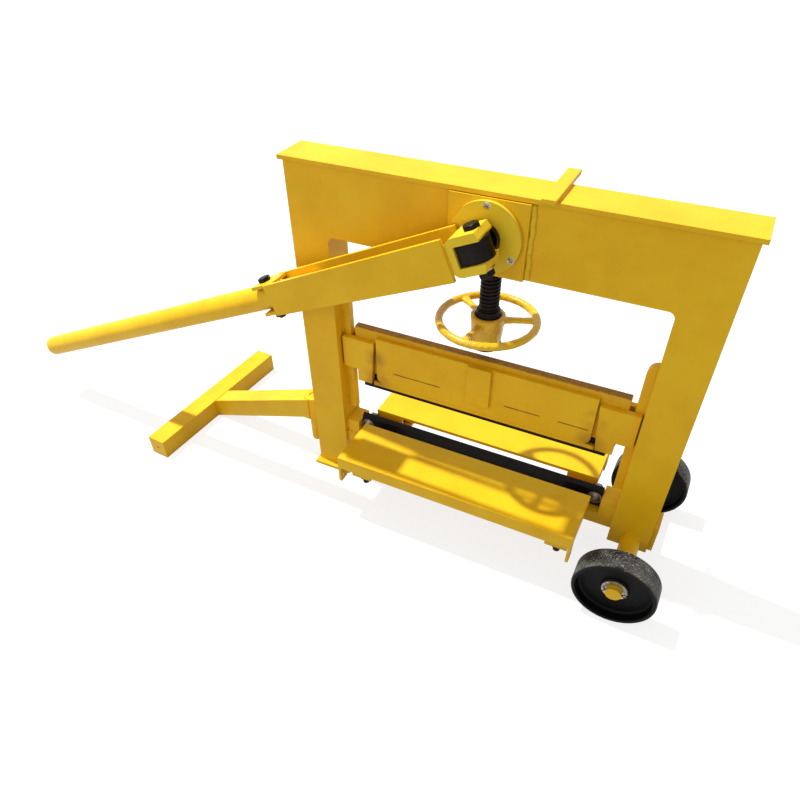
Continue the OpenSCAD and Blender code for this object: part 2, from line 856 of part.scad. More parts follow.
// Barrel of the T-foot's hinge, with the web that joins it to the leg
module hinge_barrel() {
    web_in = 4;
    color(yellow) difference() {
        union() {
            translate([hinge_x, 0, barrel_z]) cylinder(d = barrel_d, h = barrel_h);
            block([hinge_x, -web_t / 2, barrel_z + web_in],
                  [-half_w, web_t / 2, barrel_top - web_in]);
        }
        translate([hinge_x, 0, barrel_z - 1]) cylinder(d = hinge_pin_d, h = barrel_h + 2);
    }
}

// Pin fixed in the barrel, with a flat head under it
module hinge_pin() {
    head_h = 4;
    color(yellow) translate([hinge_x, 0, 0]) {
        translate([0, 0, barrel_z]) cylinder(d = hinge_pin_d, h = collar_top - pin_sink - barrel_z);
        translate([0, 0, barrel_z - head_h]) cylinder(d = hinge_pin_d * 1.4, h = head_h);
    }
}

// Shaft with an eccentric between the portal plates
module eccentric_shaft() {
    ecc_half = half_gap - 1;
    color(black) {
        rod_y(0, shaft_z, stub_d / 2, stub_end, bearing_face + bearing_t + 6);
        rod_y(0, shaft_z, journal_d / 2, journal_front, bearing_face);
        rod_y(ecc_x, ecc_z, ecc_d / 2, -ecc_half, ecc_half);
    }
}

// Collar that holds the shaft's rear end
module shaft_collar() {
    color(black) difference() {
        rod_y(0, shaft_z, journal_d / 2 + 5, bearing_face + side_fit, bearing_face + bearing_t);
        rod_y(0, shaft_z, stub_d / 2, bearing_face, bearing_face + bearing_t + 1);
    }
}

// Bore for the bolt that crosses the yoke and the head
module yoke_bolt_bore() {
    translate([yoke_bolt_x, lever_y, -arm_h_root])
        cylinder(d = yoke_bolt_d, h = 2 * arm_h_root);
}

// Block on the shaft's front end, with a nose rounded about the yoke's bolt
module lever_head() {
    color(black) lever_frame() difference() {
        union() {
            block([-head_back, head_front, -head_flat / 2], [yoke_bolt_x, head_rear, head_flat / 2]);
            translate([yoke_bolt_x, lever_y, -head_flat / 2]) cylinder(d = head_w, h = head_flat);
        }
        rod_y(0, 0, stub_d / 2, stub_end, head_rear + 1);
        yoke_bolt_bore();
    }
}

// Outline of the yoke: a bar bent to a U, with slanted ends on its ears
module yoke_outline() {
    outer = yoke_half + yoke_t;
    inner_r = yoke_round - yoke_t;
    difference() {
        union() {
            translate([-yoke_back + yoke_round, -outer])
                square([yoke_back - yoke_round + yoke_reach, 2 * outer]);
            translate([-yoke_back, -outer + yoke_round]) square([yoke_round, 2 * (outer - yoke_round)]);
            for (s = [-1, 1]) translate([-yoke_back + yoke_round, s * (outer - yoke_round)])
                circle(r = yoke_round);
        }
        translate([-yoke_in + inner_r, -yoke_half])
            square([yoke_in + yoke_reach + 1, 2 * yoke_half]);
        translate([-yoke_in, -yoke_half + inner_r]) square([inner_r + 1, 2 * (yoke_half - inner_r)]);
        for (s = [-1, 1]) translate([-yoke_in + inner_r, s * (yoke_half - inner_r)])
            circle(r = inner_r);
        for (s = [-1, 1]) polygon([[yoke_reach + 1, s * yoke_half], [yoke_reach + 1, s * (outer + 1)],
                                   [yoke_reach - yoke_slant, s * (outer + 1)]]);
    }
}

module lever_yoke() {
    color(yellow) lever_frame() difference() {
        plate_y(lever_y - yoke_w / 2, yoke_w) yoke_outline();
        yoke_bolt_bore();
    }
}

// Tapered side plate of the arm, from the yoke to the handle
module arm_side(y0) {
    plate_y(y0, arm_plate_t)
        polygon([[-yoke_back, -arm_h_root / 2], [-yoke_back, arm_h_root / 2],
                 [-arm_len, arm_h_end / 2], [-arm_len, -arm_h_end / 2]]);
}

module arm_front_plate() {
    color(yellow) lever_frame() arm_side(lever_y - arm_out_w / 2);
}

module arm_rear_plate() {
    color(yellow) lever_frame() arm_side(lever_y + arm_in_w / 2);
}

// Straps over and under the handle tube, between the arm's plates
module handle_straps() {
    half = arm_in_w / 2;
    color(yellow) lever_frame() difference() {
        for (s = [-1, 1]) translate([0, lever_y, s * (strap_z + strap_bar_t / 2)])
            block([-arm_len - strap_out, -half, -strap_bar_t / 2], [-strap_in, half, strap_bar_t / 2]);
        handle_bolt_bore();
    }
}

// Bore for the bolt through the straps and the handle tube
module handle_bolt_bore() {
    translate([-handle_bolt_x, lever_y, -arm_h_end]) cylinder(d = handle_bolt_d, h = 2 * arm_h_end);
}

// Bolt across the lever between z0 and z1, with a hexagon head on top and a nut below
module cross_bolt(x, z0, z1, bolt_d) {
    head_h = bolt_d * 0.65;
    across = bolt_d * 1.5;
    tail = bolt_d * 0.4;
    translate([x, lever_y, 0]) {
        translate([0, 0, z0 - head_h - tail]) cylinder(d = bolt_d, h = z1 - z0 + head_h + tail);
        translate([0, 0, z1]) hexagon(across, head_h);
        translate([0, 0, z0 - head_h]) hexagon(across, head_h);
    }
}

module yoke_bolt() {
    outer = yoke_half + yoke_t;
    color(black) lever_frame() cross_bolt(yoke_bolt_x, -outer, outer, yoke_bolt_d);
}

module handle_bolt() {
    outer = strap_z + strap_bar_t;
    color(black) lever_frame() cross_bolt(-handle_bolt_x, -outer, outer, handle_bolt_d);
}

// Long tube that the user pulls down
module handle_tube() {
    length = lever_len - dome_h - tube_in;
    color(yellow) lever_frame() difference() {
        translate([-tube_in, lever_y, 0]) rotate([0, -90, 0]) difference() {
            cylinder(d = handle_d, h = length);
            translate([0, 0, -1]) cylinder(d = handle_d - 2 * handle_wall, h = length + 2);
        }
        handle_bolt_bore();
    }
}

// Domed plug that closes the handle's end
module handle_plug() {
    plug_in = 20;
    r = handle_d / 2;
    ball = (r * r + dome_h * dome_h) / (2 * dome_h);
    color(yellow) lever_frame() translate([-lever_len + dome_h, lever_y, 0]) rotate([0, -90, 0]) {
        translate([0, 0, -plug_in]) cylinder(r = r - handle_wall, h = plug_in);
        intersection() {
            cylinder(r = r, h = dome_h);
            translate([0, 0, dome_h - ball]) sphere(r = ball);
        }
    }
}

// Block that the eccentric lifts and lowers: its window lets the eccentric move sideways
module thrust_block() {
    color(black) difference() {
        block([-block_half, -block_d / 2, block_low], [block_half, block_d / 2, block_top]);
        translate([window_x, 0, ecc_z]) {
            for (s = [-1, 1]) rod_y(s * window_run, 0, window_r, -half_d, half_d);
            block([-window_run, -half_d, -window_r], [window_run, half_d, window_r]);
        }
        translate([0, 0, block_low - 1]) cylinder(d = screw_d, h = screw_top - block_low + 1);
    }
}

// Screw that hangs from the thrust block
module press_screw() {
    point = 2;
    color(black) {
        translate([0, 0, screw_low + point]) cylinder(d = screw_d, h = screw_top - screw_low - point);
        translate([0, 0, screw_low]) cylinder(d1 = screw_d - 2 * point, d2 = screw_d, h = point);
    }
}

// Ring under the hub that bears on the upper beam and doesn't turn
module pressure_pad() {
    color(black) translate([0, 0, hub_z]) difference() {
        union() {
            translate([0, 0, -side_fit - pad_h]) cylinder(d = hub_low_d, h = pad_h);
            translate([0, 0, -side_fit - 1]) cylinder(d = pad_neck_d, h = pad_neck_h + 1);
        }
        translate([0, 0, -side_fit - pad_h - 1])
            cylinder(d = screw_d + 2, h = pad_h + pad_neck_h + 3);
    }
}

// Cast wheel: a round rim, three flat spokes and a tapered hub
module hand_wheel() {
    rim_r = (wheel_rim_d - rim_bar_d) / 2;
    neck_r = pad_neck_d / 2 + nut_fit;
    nut_z = pad_neck_h + side_fit;
    color(yellow) translate([0, 0, hub_z]) difference() {
        union() {
            cylinder(d1 = hub_low_d, d2 = hub_top_d, h = hub_h);
            translate([0, 0, rim_lift]) rotate_extrude() translate([rim_r, 0]) circle(d = rim_bar_d);
            for (a = [0, 120, 240]) rotate([0, 0, a + spoke_turn])
                translate([0, 0, rim_lift - spoke_t / 2]) linear_extrude(spoke_t)
                    polygon([[hub_low_d / 2, -spoke_root_w / 2], [rim_r, -spoke_w / 2],
                             [rim_r, spoke_w / 2], [hub_low_d / 2, spoke_root_w / 2]]);
        }
        translate([0, 0, -1]) cylinder(r = neck_r, h = nut_z + 1);
        translate([0, 0, nut_z]) cylinder(d = nut_d, h = hub_h);
    }
}

// Steel nut pressed into the hub: it runs on the screw
module wheel_nut() {
    nut_z = hub_z + pad_neck_h + side_fit;
    top = hub_z + hub_h;
    color(black) difference() {
        union() {
            translate([0, 0, nut_z]) cylinder(d = nut_d, h = top - nut_z);
            translate([0, 0, top]) cylinder(d1 = nut_d, d2 = nut_top_d, h = nut_flange_h);
        }
        translate([0, 0, nut_z - 1]) cylinder(r = screw_d / 2 + nut_fit, h = hub_h + nut_flange_h);
    }
}

// Main plate of the upper beam
module beam_plate() {
    color(yellow) block([-beam_half, -half_main, plate_low], [beam_half, half_main, beam_top]);
}

// Both copies of a plate shape, on the front and the rear of the main plate
module front_and_rear(t) {
    plate_y(-half_main - t, t) children();
    plate_y(half_main, t) children();
}

// Panel outline with two rounded lower corners
module panel_outline() {
    translate([-panel_half, panel_low + panel_round])
        square([2 * panel_half, panel_top - panel_low - panel_round]);
    translate([-panel_half + panel_round, panel_low])
        square([2 * (panel_half - panel_round), panel_round + 1]);
    for (s = [-1, 1]) translate([s * (panel_half - panel_round), panel_low + panel_round])
        circle(r = panel_round);
}

module beam_panels() {
    color(yellow) front_and_rear(panel_t) panel_outline();
}

// Strips that hold the upper blade below the panels
module blade_clamps() {
    half = panel_half + groove_low - clamp_in;
    color(yellow) front_and_rear(clamp_t)
        translate([-half, clamp_low]) square([2 * half, clamp_h]);
}

// Outline of the right-hand tongue: it holds the blade's end and reaches over the rail
module tongue_outline() {
    top_in = panel_half + groove_top;
    low_in = panel_half + groove_low;
    polygon([[low_in, tongue_foot_z], [tongue_foot, tongue_foot_z], [tongue_foot, tongue_z],
             [tongue_end, tongue_z], [tongue_end, tongue_top], [top_in, tongue_top]]);
}

module beam_tongues() {
    color(yellow) both_sides() front_and_rear(tongue_t) tongue_outline();
}

// Straps welded over the middle of the panels
module centre_straps() {
    low = panel_low + strap_low;
    color(yellow) for (s = [-1, 1]) translate([0, s * (half_main + panel_t + strap_t / 2), 0])
        block([-strap_w / 2, -strap_t / 2, low], [strap_w / 2, strap_t / 2, panel_top]);
}

module upper_blade() {
    color(black) translate([0, 0, plate_low]) mirror([0, 0, 1])
        blade_bar(upper_blade_half, upper_blade_h, half_main + clamp_t);
}

// Front table: a folded tray with a flange, end plates and two holed tabs
module table_tray() {
    half = table_half;
    tab_low = table_top - tab_h;
    block([-half, -table_out, table_low], [half, -table_in, table_top]);
    block([-half, -table_out, table_top - flange_h], [half, -table_out + flange_t, table_low]);
    both_sides() block([pin_x - lug_w / 2, -table_in - flange_t, table_low - lug_h],
                       [pin_x + lug_w / 2, -table_in, table_low]);
    both_sides() difference() {
        union() {
            block([half - flange_t, -table_out, table_top - flange_h], [half, -table_in, table_low]);
            block([half - flange_t, -table_out, tab_low], [half, -table_out + tab_w, table_low]);
        }
        translate([half - flange_t - 1, -table_out + tab_w / 2, tab_low + tab_w / 2])
            rotate([0, 90, 0]) cylinder(d = tab_hole_d, h = flange_t + 2);
    }
}

// Pins under a table, with nuts below the spring arms
module table_pins(side) {
    nut_top = arm_low - pin_nut_gap;
    at_pins(side) {
        translate([0, 0, arm_low - pin_tail]) cylinder(d = pin_d, h = table_low - arm_low + pin_tail);
        translate([0, 0, nut_top - pin_nut_h]) hexagon(pin_d * 1.6, pin_nut_h);
    }
}

// One ring of points of the spring wire at the angle a along the coil
ring_sides = 6;
rings_per_turn = 8;
spring_rings = spring_turns * rings_per_turn;
function spring_ring(a) =
    let (slope = atan(spring_pitch / (2 * PI * coil_r)),
         out = [cos(a), sin(a), 0],
         up = [sin(a) * sin(slope), -cos(a) * sin(slope), cos(slope)],
         mid = [coil_r * cos(a), coil_r * sin(a), base_z + wire_d / 2 + spring_pitch * a / 360])
    [for (k = [0 : ring_sides - 1])
        mid + wire_d / 2 * (cos(360 * k / ring_sides) * out + sin(360 * k / ring_sides) * up)];

// Least gap of the wire to its next turn, measured between the rings' points
spring_points = [for (i = [0 : spring_rings]) spring_ring(360 * i / rings_per_turn)];
spring_least_gap = min([for (i = [0 : spring_rings - rings_per_turn - 1])
    for (j = [-1 : 1]) for (p = spring_points[i]) for (q = spring_points[i + rings_per_turn + j])
        norm(q - p)]);
echo(spring_least_gap = spring_least_gap);

// Compression spring as one unbroken wire
module coil_spring() {
    rings = spring_rings;
    points = [for (ring = spring_points) each ring];
    function at(i, k) = i * ring_sides + (k % ring_sides);
    sides = [for (i = [0 : rings - 1]) for (k = [0 : ring_sides - 1])
        each [[at(i, k), at(i + 1, k), at(i + 1, k + 1)], [at(i, k), at(i + 1, k + 1), at(i, k + 1)]]];
    first = [for (k = [1 : ring_sides - 2]) [at(0, 0), at(0, k), at(0, k + 1)]];
    last = [for (k = [1 : ring_sides - 2]) [at(rings, 0), at(rings, k + 1), at(rings, k)]];
    polyhedron(points, concat(sides, first, last));
}

module front_table() {
    color(yellow) table_tray();
}

module front_table_pins() {
    color(black) table_pins(-1);
}

module front_table_springs() {
    color(black) at_pins(-1) coil_spring();
}

module rear_table() {
    color(yellow) mirror([0, 1, 0]) table_tray();
}

module rear_table_pins() {
    color(black) table_pins(1);
}

module rear_table_springs() {
    color(black) at_pins(1) coil_spring();
}

// Collar, sloping arm and cross bar of the T-foot, welded from square tube
module foot_frame() {
    half = foot_tube / 2;
    far = foot_reach + foot_tube;
    bore = foot_tube - 2 * foot_wall;
    color(yellow) foot_place() difference() {
        union() {
            translate([0, 0, collar_z]) cylinder(d = collar_d, h = collar_h);
            foot_arm(half, 0, 0);
            block([-far, -foot_bar_len / 2, 0], [-foot_reach, foot_bar_len / 2, foot_tube]);
        }
        translate([0, 0, collar_z - 1]) cylinder(r = hinge_pin_d / 2 + hinge_fit, h = collar_h + 2);
        block([-far + foot_wall, -foot_bar_len / 2 - 1, foot_wall],
              [-foot_reach - foot_wall, foot_bar_len / 2 + 1, foot_wall + bore]);
        foot_arm(bore / 2, foot_wall, collar_d / 2 + foot_wall);
    }
}

// The arm from the collar down to the cross bar, or the hollow inside it when in_by is its wall
module foot_arm(half, in_by, start) {
    slant = (collar_top - foot_tube) / foot_reach;
    skin = in_by * sqrt(1 + slant * slant);
    flat = barrel_d / 2 + 3;
    low_slant = collar_z / (foot_reach - flat);
    end = foot_reach + foot_wall + 0.5;
    translate([0, half, 0]) rotate([90, 0, 0]) linear_extrude(2 * half)
        polygon([[-start, collar_z - low_slant * max(start - flat, 0) + skin],
                 [-start, collar_top - slant * start - skin],
                 [-end, max(foot_tube - skin - slant * (end - foot_reach), 2 * foot_wall)],
                 [-end, in_by], [-foot_reach, in_by], [-max(flat, start + 1),
                 collar_z - low_slant * max(start + 1 - flat, 0) + skin]]);
}

// Caps with a small hole on the cross bar's ends
module foot_caps() {
    far = foot_reach + foot_tube;
    color(yellow) foot_place() difference() {
        for (s = [-1, 1]) translate([0, s * (foot_bar_len + cap_t) / 2, 0])
            block([-far, -cap_t / 2, 0], [-foot_reach, cap_t / 2, foot_tube]);
        rod_y(-foot_reach - foot_tube / 2, foot_tube / 2, cap_hole_d / 2,
              -foot_bar_len, foot_bar_len);
    }
}

// Section of a wheel: X is the radius and Y the distance from its inner side
module wheel_section() {
    r = wheel_d / 2;
    rim = r - tyre_t;
    hub = wheel_hub_d / 2;
    web_z = (wheel_w - dish - web_plate_t) / 2 + 4;
    square([hub, wheel_w - dish]);
    translate([0, web_z]) square([rim, web_plate_t]);
    translate([rim - 1, 0]) square([tyre_t + 1 - tyre_round, wheel_w]);
    translate([r - tyre_round - 1, tyre_round]) square([tyre_round + 1, wheel_w - 2 * tyre_round]);
    for (z = [tyre_round, wheel_w - tyre_round]) translate([r - tyre_round, z]) circle(r = tyre_round);
}

// Solid wheel with a dished outer side, turning on the axle
module road_wheel(side) {
    color(charcoal) translate([axle_x, side * wheel_in, axle_z]) rotate([-90 * side, 0, 0])
        rotate_extrude() difference() {
            wheel_section();
            translate([-1, -1]) square([1 + axle_d / 2 + axle_fit, wheel_w + 2]);
        }
}

module front_wheel() {
    road_wheel(-1);
}

module rear_wheel() {
    road_wheel(1);
}

portal_front_plate();
portal_rear_plate();
portal_cover();
end_walls();
inner_walls();
guide_rails();
sole_plate();
top_cross_bar();
bearing_plate_front();
bearing_plate_rear();
bearing_flange();
shaft_bushes();
flange_screws();
block_guides();
base_bar();
blade_seat();
lower_blade();
lower_blade_bolts();
spring_arms();
axle();
axle_sleeves();
axle_washers();
split_pins();
axle_side_plate();
hinge_barrel();
hinge_pin();
eccentric_shaft();
shaft_collar();
lever_head();
lever_yoke();
arm_front_plate();
arm_rear_plate();
handle_straps();
yoke_bolt();
handle_tube();
handle_plug();
handle_bolt();
thrust_block();
press_screw();
pressure_pad();
hand_wheel();
wheel_nut();
beam_plate();
beam_panels();
blade_clamps();
beam_tongues();
centre_straps();
upper_blade();
front_table();
front_table_pins();
front_table_springs();
rear_table();
rear_table_pins();
rear_table_springs();
foot_frame();
foot_caps();
front_wheel();
rear_wheel();
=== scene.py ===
# %% [markdown]
# A hand-worked masonry block splitter, dressed for a studio picture.
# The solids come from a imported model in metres, X along the blades, Y to the rear and Z up.
# This lesson gives them their finishes, and adds the small forms that a maker would look for:
# the screw's thread, the springs' round wire, castings, weld beads, bolts and split pins.

# %% Load the solids
import json
import math
import bmesh
import bpy
import numpy as np
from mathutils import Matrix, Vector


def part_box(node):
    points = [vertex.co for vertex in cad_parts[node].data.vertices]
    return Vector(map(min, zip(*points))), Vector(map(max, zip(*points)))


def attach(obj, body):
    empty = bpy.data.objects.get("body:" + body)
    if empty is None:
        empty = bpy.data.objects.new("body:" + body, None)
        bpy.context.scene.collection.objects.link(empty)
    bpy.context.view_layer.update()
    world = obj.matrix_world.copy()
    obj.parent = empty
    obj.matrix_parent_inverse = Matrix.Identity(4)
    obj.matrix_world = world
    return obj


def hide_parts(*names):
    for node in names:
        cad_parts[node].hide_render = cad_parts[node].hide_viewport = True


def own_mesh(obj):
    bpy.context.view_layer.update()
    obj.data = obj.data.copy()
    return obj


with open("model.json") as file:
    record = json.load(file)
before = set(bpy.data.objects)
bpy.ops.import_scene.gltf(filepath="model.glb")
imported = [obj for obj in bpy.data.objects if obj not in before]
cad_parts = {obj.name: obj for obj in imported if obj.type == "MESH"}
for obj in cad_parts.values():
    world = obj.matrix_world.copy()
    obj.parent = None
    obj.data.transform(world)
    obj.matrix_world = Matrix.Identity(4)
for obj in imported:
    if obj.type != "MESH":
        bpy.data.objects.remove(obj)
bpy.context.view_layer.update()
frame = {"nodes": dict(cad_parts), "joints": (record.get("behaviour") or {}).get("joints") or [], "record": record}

NODES = frame["nodes"]
MM = 0.001

# %% [markdown]
# Colours are easiest to compare with a picture as sRGB hex values, but a shader works with linear
# light. One function turns the first into the second. Another adds a shader node of any kind, sets
# its properties, fills its inputs and gives back one output, so that every material below reads as
# a list of nodes under Blender's own names.

# %% Colour and node helpers
# Settings that many nodes share. A Mix node of colours takes its share at input 0 and the two colours
# at inputs 6 and 7, and gives the result at output 2.
SMOOTH = {"interpolation_type": "SMOOTHSTEP"}
COLOURS = {"data_type": "RGBA", "out": 2}


def linear(hex_colour):
    """Linear RGBA of an sRGB hex colour: c/12.92 near black, else ((c+0.055)/1.055)^2.4."""
    c = np.array([int(hex_colour[i:i + 2], 16) for i in (1, 3, 5)]) / 255
    rgb = np.where(c <= 0.04045, c / 12.92, ((c + 0.055) / 1.055) ** 2.4)
    return (*rgb, 1.0)


def add(tree, kind, inputs, out=0, **settings):
    """Adds one node and gives its output; inputs maps sockets to values or to other nodes' outputs."""
    made = tree.nodes.new("ShaderNode" + kind)
    for name, value in settings.items():
        setattr(made, name, value)
    for key, value in inputs.items():
        if isinstance(value, bpy.types.NodeSocket):
            tree.links.new(value, made.inputs[key])
        else:
            made.inputs[key].default_value = value
    return made.outputs[out] if made.outputs else None


def new_material(name):
    """An empty node material, its tree, and the object coordinates that patterns read."""
    made = bpy.data.materials.new(name)
    made.use_nodes = True
    tree = made.node_tree
    tree.nodes.clear()
    place = add(tree, "TexCoord", {}, "Object")
    return made, tree, place


print("white in linear light:", linear("#ffffff"))

# %% [markdown]
# Most wear is cloudy, so the recipes use one noise pattern in several sizes and characters. Wear
# also needs a few small sums on top of the nodes: a coat of another colour where a mask is bright,
# and two masks. The edge mask is bright where a plate's edge is sharp. The corner mask is bright
# where two pieces meet, where grime settles and where the enamel gets painted shade.

# %% Noise, coats and masks
# Characters of the noise: how many finer layers it has, and how strong each is beside the last.
SOFT = {"Detail": 1.0, "Roughness": 0.55}
EVEN = {"Detail": 2.0, "Roughness": 0.55}
CLOUDY = {"Detail": 4.0, "Roughness": 0.55}
CRUMBLY = {"Detail": 5.0, "Roughness": 0.7}
SCUFFED = {"Detail": 3.0, "Roughness": 0.6}
GRITTY = {"Detail": 3.0, "Roughness": 0.65}


def per_metre(size_mm):
    """Texture scale whose features come out about size_mm across: one cycle each size."""
    return 1000.0 / size_mm


def coat(tree, tone, colour, mask, strength=1.0):
    """Tone under a coat of colour: tone + (colour - tone) times mask times strength."""
    share = add(tree, "Math", {0: mask, 1: strength}, operation="MULTIPLY")
    return add(tree, "Mix", {0: share, 6: tone, 7: linear(colour)}, **COLOURS)


def edge_mask(tree, radius_mm, low, high):
    """Near 1 on sharp edges: how far a rounded normal leans away from the true one."""
    rounded = add(tree, "Bevel", {"Radius": radius_mm * MM}, samples=6)
    true = add(tree, "NewGeometry", {}, "True Normal")
    same = add(tree, "VectorMath", {0: rounded, 1: true}, "Value", operation="DOT_PRODUCT")
    lean = add(tree, "Math", {0: 1.0, 1: same}, operation="SUBTRACT")
    return add(tree, "MapRange", {"Value": lean, "From Min": low, "From Max": high}, **SMOOTH)


def corner_mask(tree, reach_mm):
    """Near 1 in corners: how much of the view within reach_mm is blocked."""
    free = add(tree, "AmbientOcclusion", {"Distance": reach_mm * MM}, "AO", samples=6)
    blocked = add(tree, "Math", {0: 1.0, 1: free}, operation="SUBTRACT")
    return add(tree, "MapRange", {"Value": blocked, "From Min": 0.15, "From Max": 0.85}, **SMOOTH)


print("a 14 mm cloud has scale", round(per_metre(14), 1))

# %% [markdown]
# The frame is sprayed with yellow alkyd enamel over hot-rolled plate. Sprayed enamel shows a faint
# orange peel, patches of dust and, on a tool that gets knocked about, chips along the edges where
# the brown primer looks through; the corners are darkened with grime and with painted shade. A plain
# colour would look like plastic, so the recipe mixes three sizes of noise with the two masks. Alkyd
# that has dulled outdoors reflects less than a fresh coat, so its specular level is set below the usual one.

# %% Stains on enamel
RUST_STAIN = "#a0661a"
STAIN_MM = 30
STAIN_STRENGTH = 0.6


def stained(tree, place, tone, stains):
    """Tone with brown spots: each is full within a tenth of its reach and fades out at its reach."""
    wash = add(tree, "TexNoise", {"Vector": place, "Scale": per_metre(STAIN_MM), **SOFT})
    blot = add(tree, "MapRange", {"Value": wash, "From Min": 0.3, "From Max": 0.6}, **SMOOTH)
    for spot, reach in stains:
        away = add(tree, "VectorMath", {0: place, 1: spot}, "Value", operation="DISTANCE")
        near = add(tree, "MapRange", {"Value": away, "From Min": reach, "From Max": 0.1 * reach}, **SMOOTH)
        soak = add(tree, "Math", {0: near, 1: blot}, operation="MULTIPLY")
        tone = coat(tree, tone, RUST_STAIN, soak, STAIN_STRENGTH)
    return tone


print("a rust stain is", linear(RUST_STAIN))

# %% Sprayed enamel
DUST = "#cf9f2a"
# Brown for the corners: grime, plus painted shade where the parts shade each other.
CORNER_GRIME_AND_SHADE = "#8a5f12"
CORNER_REACH_MM = 9
PRIMER = "#6b4a1c"
CHIP_MM = 1.4
SOFT_EDGE = 0.9 * MM
LUMP_HIGH = 1.6 * MM
PEEL_HIGH = 0.4 * MM
# Sizes of the patterns. Real orange peel is about 1 mm across, and is drawn coarser so that it shows.
CLOUD_MM = 90
PATCH_MM = 14
PEEL_MM = 2.2


def enamel(name, colours, chips=0.5, grime=0.3, bump=0.05, lumps=0.0, shine=(0.36, 0.54), gloss=0.25,
           stains=()):
    """Enamel paint: cloudy depth, dust, grime and painted shade in corners, chipped edges, stains, lumps and
    orange peel.
    """
    made, tree, place = new_material(name)
    light, deep = colours
    cloud = add(tree, "TexNoise", {"Vector": place, "Scale": per_metre(CLOUD_MM), **CLOUDY})
    patch = add(tree, "TexNoise", {"Vector": place, "Scale": per_metre(PATCH_MM), **CRUMBLY})
    fine = add(tree, "TexNoise", {"Vector": place, "Scale": per_metre(PEEL_MM), **EVEN})
    depth = add(tree, "MapRange", {"Value": cloud, "From Min": 0.35, "From Max": 0.72}, **SMOOTH)
    tone = coat(tree, linear(light), deep, depth)
    dusty = add(tree, "MapRange", {"Value": patch, "From Min": 0.52, "From Max": 0.8}, **SMOOTH)
    tone = coat(tree, tone, DUST, dusty, grime)
    # Corners are darkened: grime and painted shade.
    tone = coat(tree, tone, CORNER_GRIME_AND_SHADE, corner_mask(tree, CORNER_REACH_MM), 0.4)
    edge = edge_mask(tree, CHIP_MM, 0.02, 0.25)
    flaked = add(tree, "MapRange", {"Value": patch, "From Min": 0.5, "From Max": 0.64}, **SMOOTH)
    worn = add(tree, "Math", {0: edge, 1: flaked}, operation="MULTIPLY")
    tone = coat(tree, tone, PRIMER, worn, chips)
    if stains:
        tone = stained(tree, place, tone, stains)
    dull = add(tree, "MapRange", {"Value": patch, "To Min": shine[0], "To Max": shine[1]})
    soft = add(tree, "Bevel", {"Radius": SOFT_EDGE}, samples=4)
    sand = add(tree, "Bump", {"Height": patch, "Strength": lumps, "Distance": LUMP_HIGH, "Normal": soft})
    peel = add(tree, "Bump", {"Height": fine, "Strength": bump, "Distance": PEEL_HIGH, "Normal": sand})
    shader = add(tree, "BsdfPrincipled", {"Base Color": tone, "Roughness": dull, "IOR": 1.5,
                                          "Specular IOR Level": gloss, "Normal": peel})
    add(tree, "OutputMaterial", {"Surface": shader})
    return made


print("a clean sprayed coat is", linear("#f8c71a"))

# %% Yellow finishes
FRAME_YELLOWS = ("#f8c71a", "#f0ba0e")
STAIN_SPOTS = ((4, 36), (50, 26))
panel_low, panel_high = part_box("beam_panels")
# Rust stains sit at the panels' ends. A spot is its height above the panel's foot, and its reach, in mm.
STAINS = [((x, y, panel_low.z + lift * MM), reach * MM) for x in (panel_low.x, panel_high.x)
          for y in (panel_low.y, panel_high.y) for lift, reach in STAIN_SPOTS]
YELLOW = enamel("sprayed_yellow_enamel", FRAME_YELLOWS)
STAINED_YELLOW = enamel("rust_stained_enamel", FRAME_YELLOWS, stains=STAINS)
# The coat on a casting is thick and glossy, and follows the sandy skin below it.
CAST_YELLOW = enamel("enamel_on_casting", ("#f8ca20", "#d5a114"), chips=0.8, grime=0.5, bump=0.2, lumps=0.5,
                     shine=(0.2, 0.36), gloss=0.42)
# A paler, cleaner yellow for the bearing flange and the lever's yoke; on the weld strip beside the bearing plate
# it is painted highlight.
PALE_YELLOW = enamel("pale_yellow_enamel", ("#fbd834", "#f5cb24"), chips=0.3, grime=0.1)
# Weld stitches with little paint on them have gone brown.
RUSTY_SEAM = enamel("rusty_weld_seam", ("#8a5c12", "#6b440e"), grime=0.1)
print("made", [m.name for m in (YELLOW, STAINED_YELLOW, CAST_YELLOW, PALE_YELLOW, RUSTY_SEAM)])

# %% [markdown]
# The upper beam's main plate is painted too, but the paint has gone from its top edge, which has
# rusted. The brown follows height, so the recipe reads the Z of the object coordinates.

# %% Enamel with a rusty top edge
RUST_MM = 9
RUST_WANDER = 5 * MM
RUST_BELOW = 3 * MM
RUST_ABOVE = 1 * MM
DARK_RUST = "#6e4212"
PALE_RUST = "#a87224"


def rusty_top(name, z_low, z_high):
    """Enamel below z_low that gives way to brown rust by z_high, with a ragged border."""
    made, tree, place = new_material(name)
    patch = add(tree, "TexNoise", {"Vector": place, "Scale": per_metre(RUST_MM), **CRUMBLY})
    height = add(tree, "SeparateXYZ", {0: place}, "Z")
    swing = add(tree, "Math", {0: patch, 1: 0.5}, operation="SUBTRACT")
    wander = add(tree, "Math", {0: swing, 1: RUST_WANDER}, operation="MULTIPLY")
    ragged = add(tree, "Math", {0: height, 1: wander}, operation="ADD")
    share = add(tree, "MapRange", {"Value": ragged, "From Min": z_low, "From Max": z_high}, **SMOOTH)
    rust = coat(tree, linear(DARK_RUST), PALE_RUST, patch)
    dusty = add(tree, "MapRange", {"Value": patch, "From Min": 0.5, "From Max": 0.8}, **SMOOTH)
    paint = coat(tree, linear("#eeba1a"), "#d6a52c", dusty)
    tone = add(tree, "Mix", {0: share, 6: paint, 7: rust}, **COLOURS)
    shader = add(tree, "BsdfPrincipled", {"Base Color": tone, "Roughness": 0.6, "IOR": 1.5,
                                          "Specular IOR Level": 0.3})
    add(tree, "OutputMaterial", {"Surface": shader})
    return made


plate_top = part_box("beam_plate")[1].z
BEAM_TOP = rusty_top("enamel_with_rusty_top_edge", plate_top - RUST_BELOW, plate_top + RUST_ABOVE)
print("rust starts at", plate_top - RUST_BELOW)

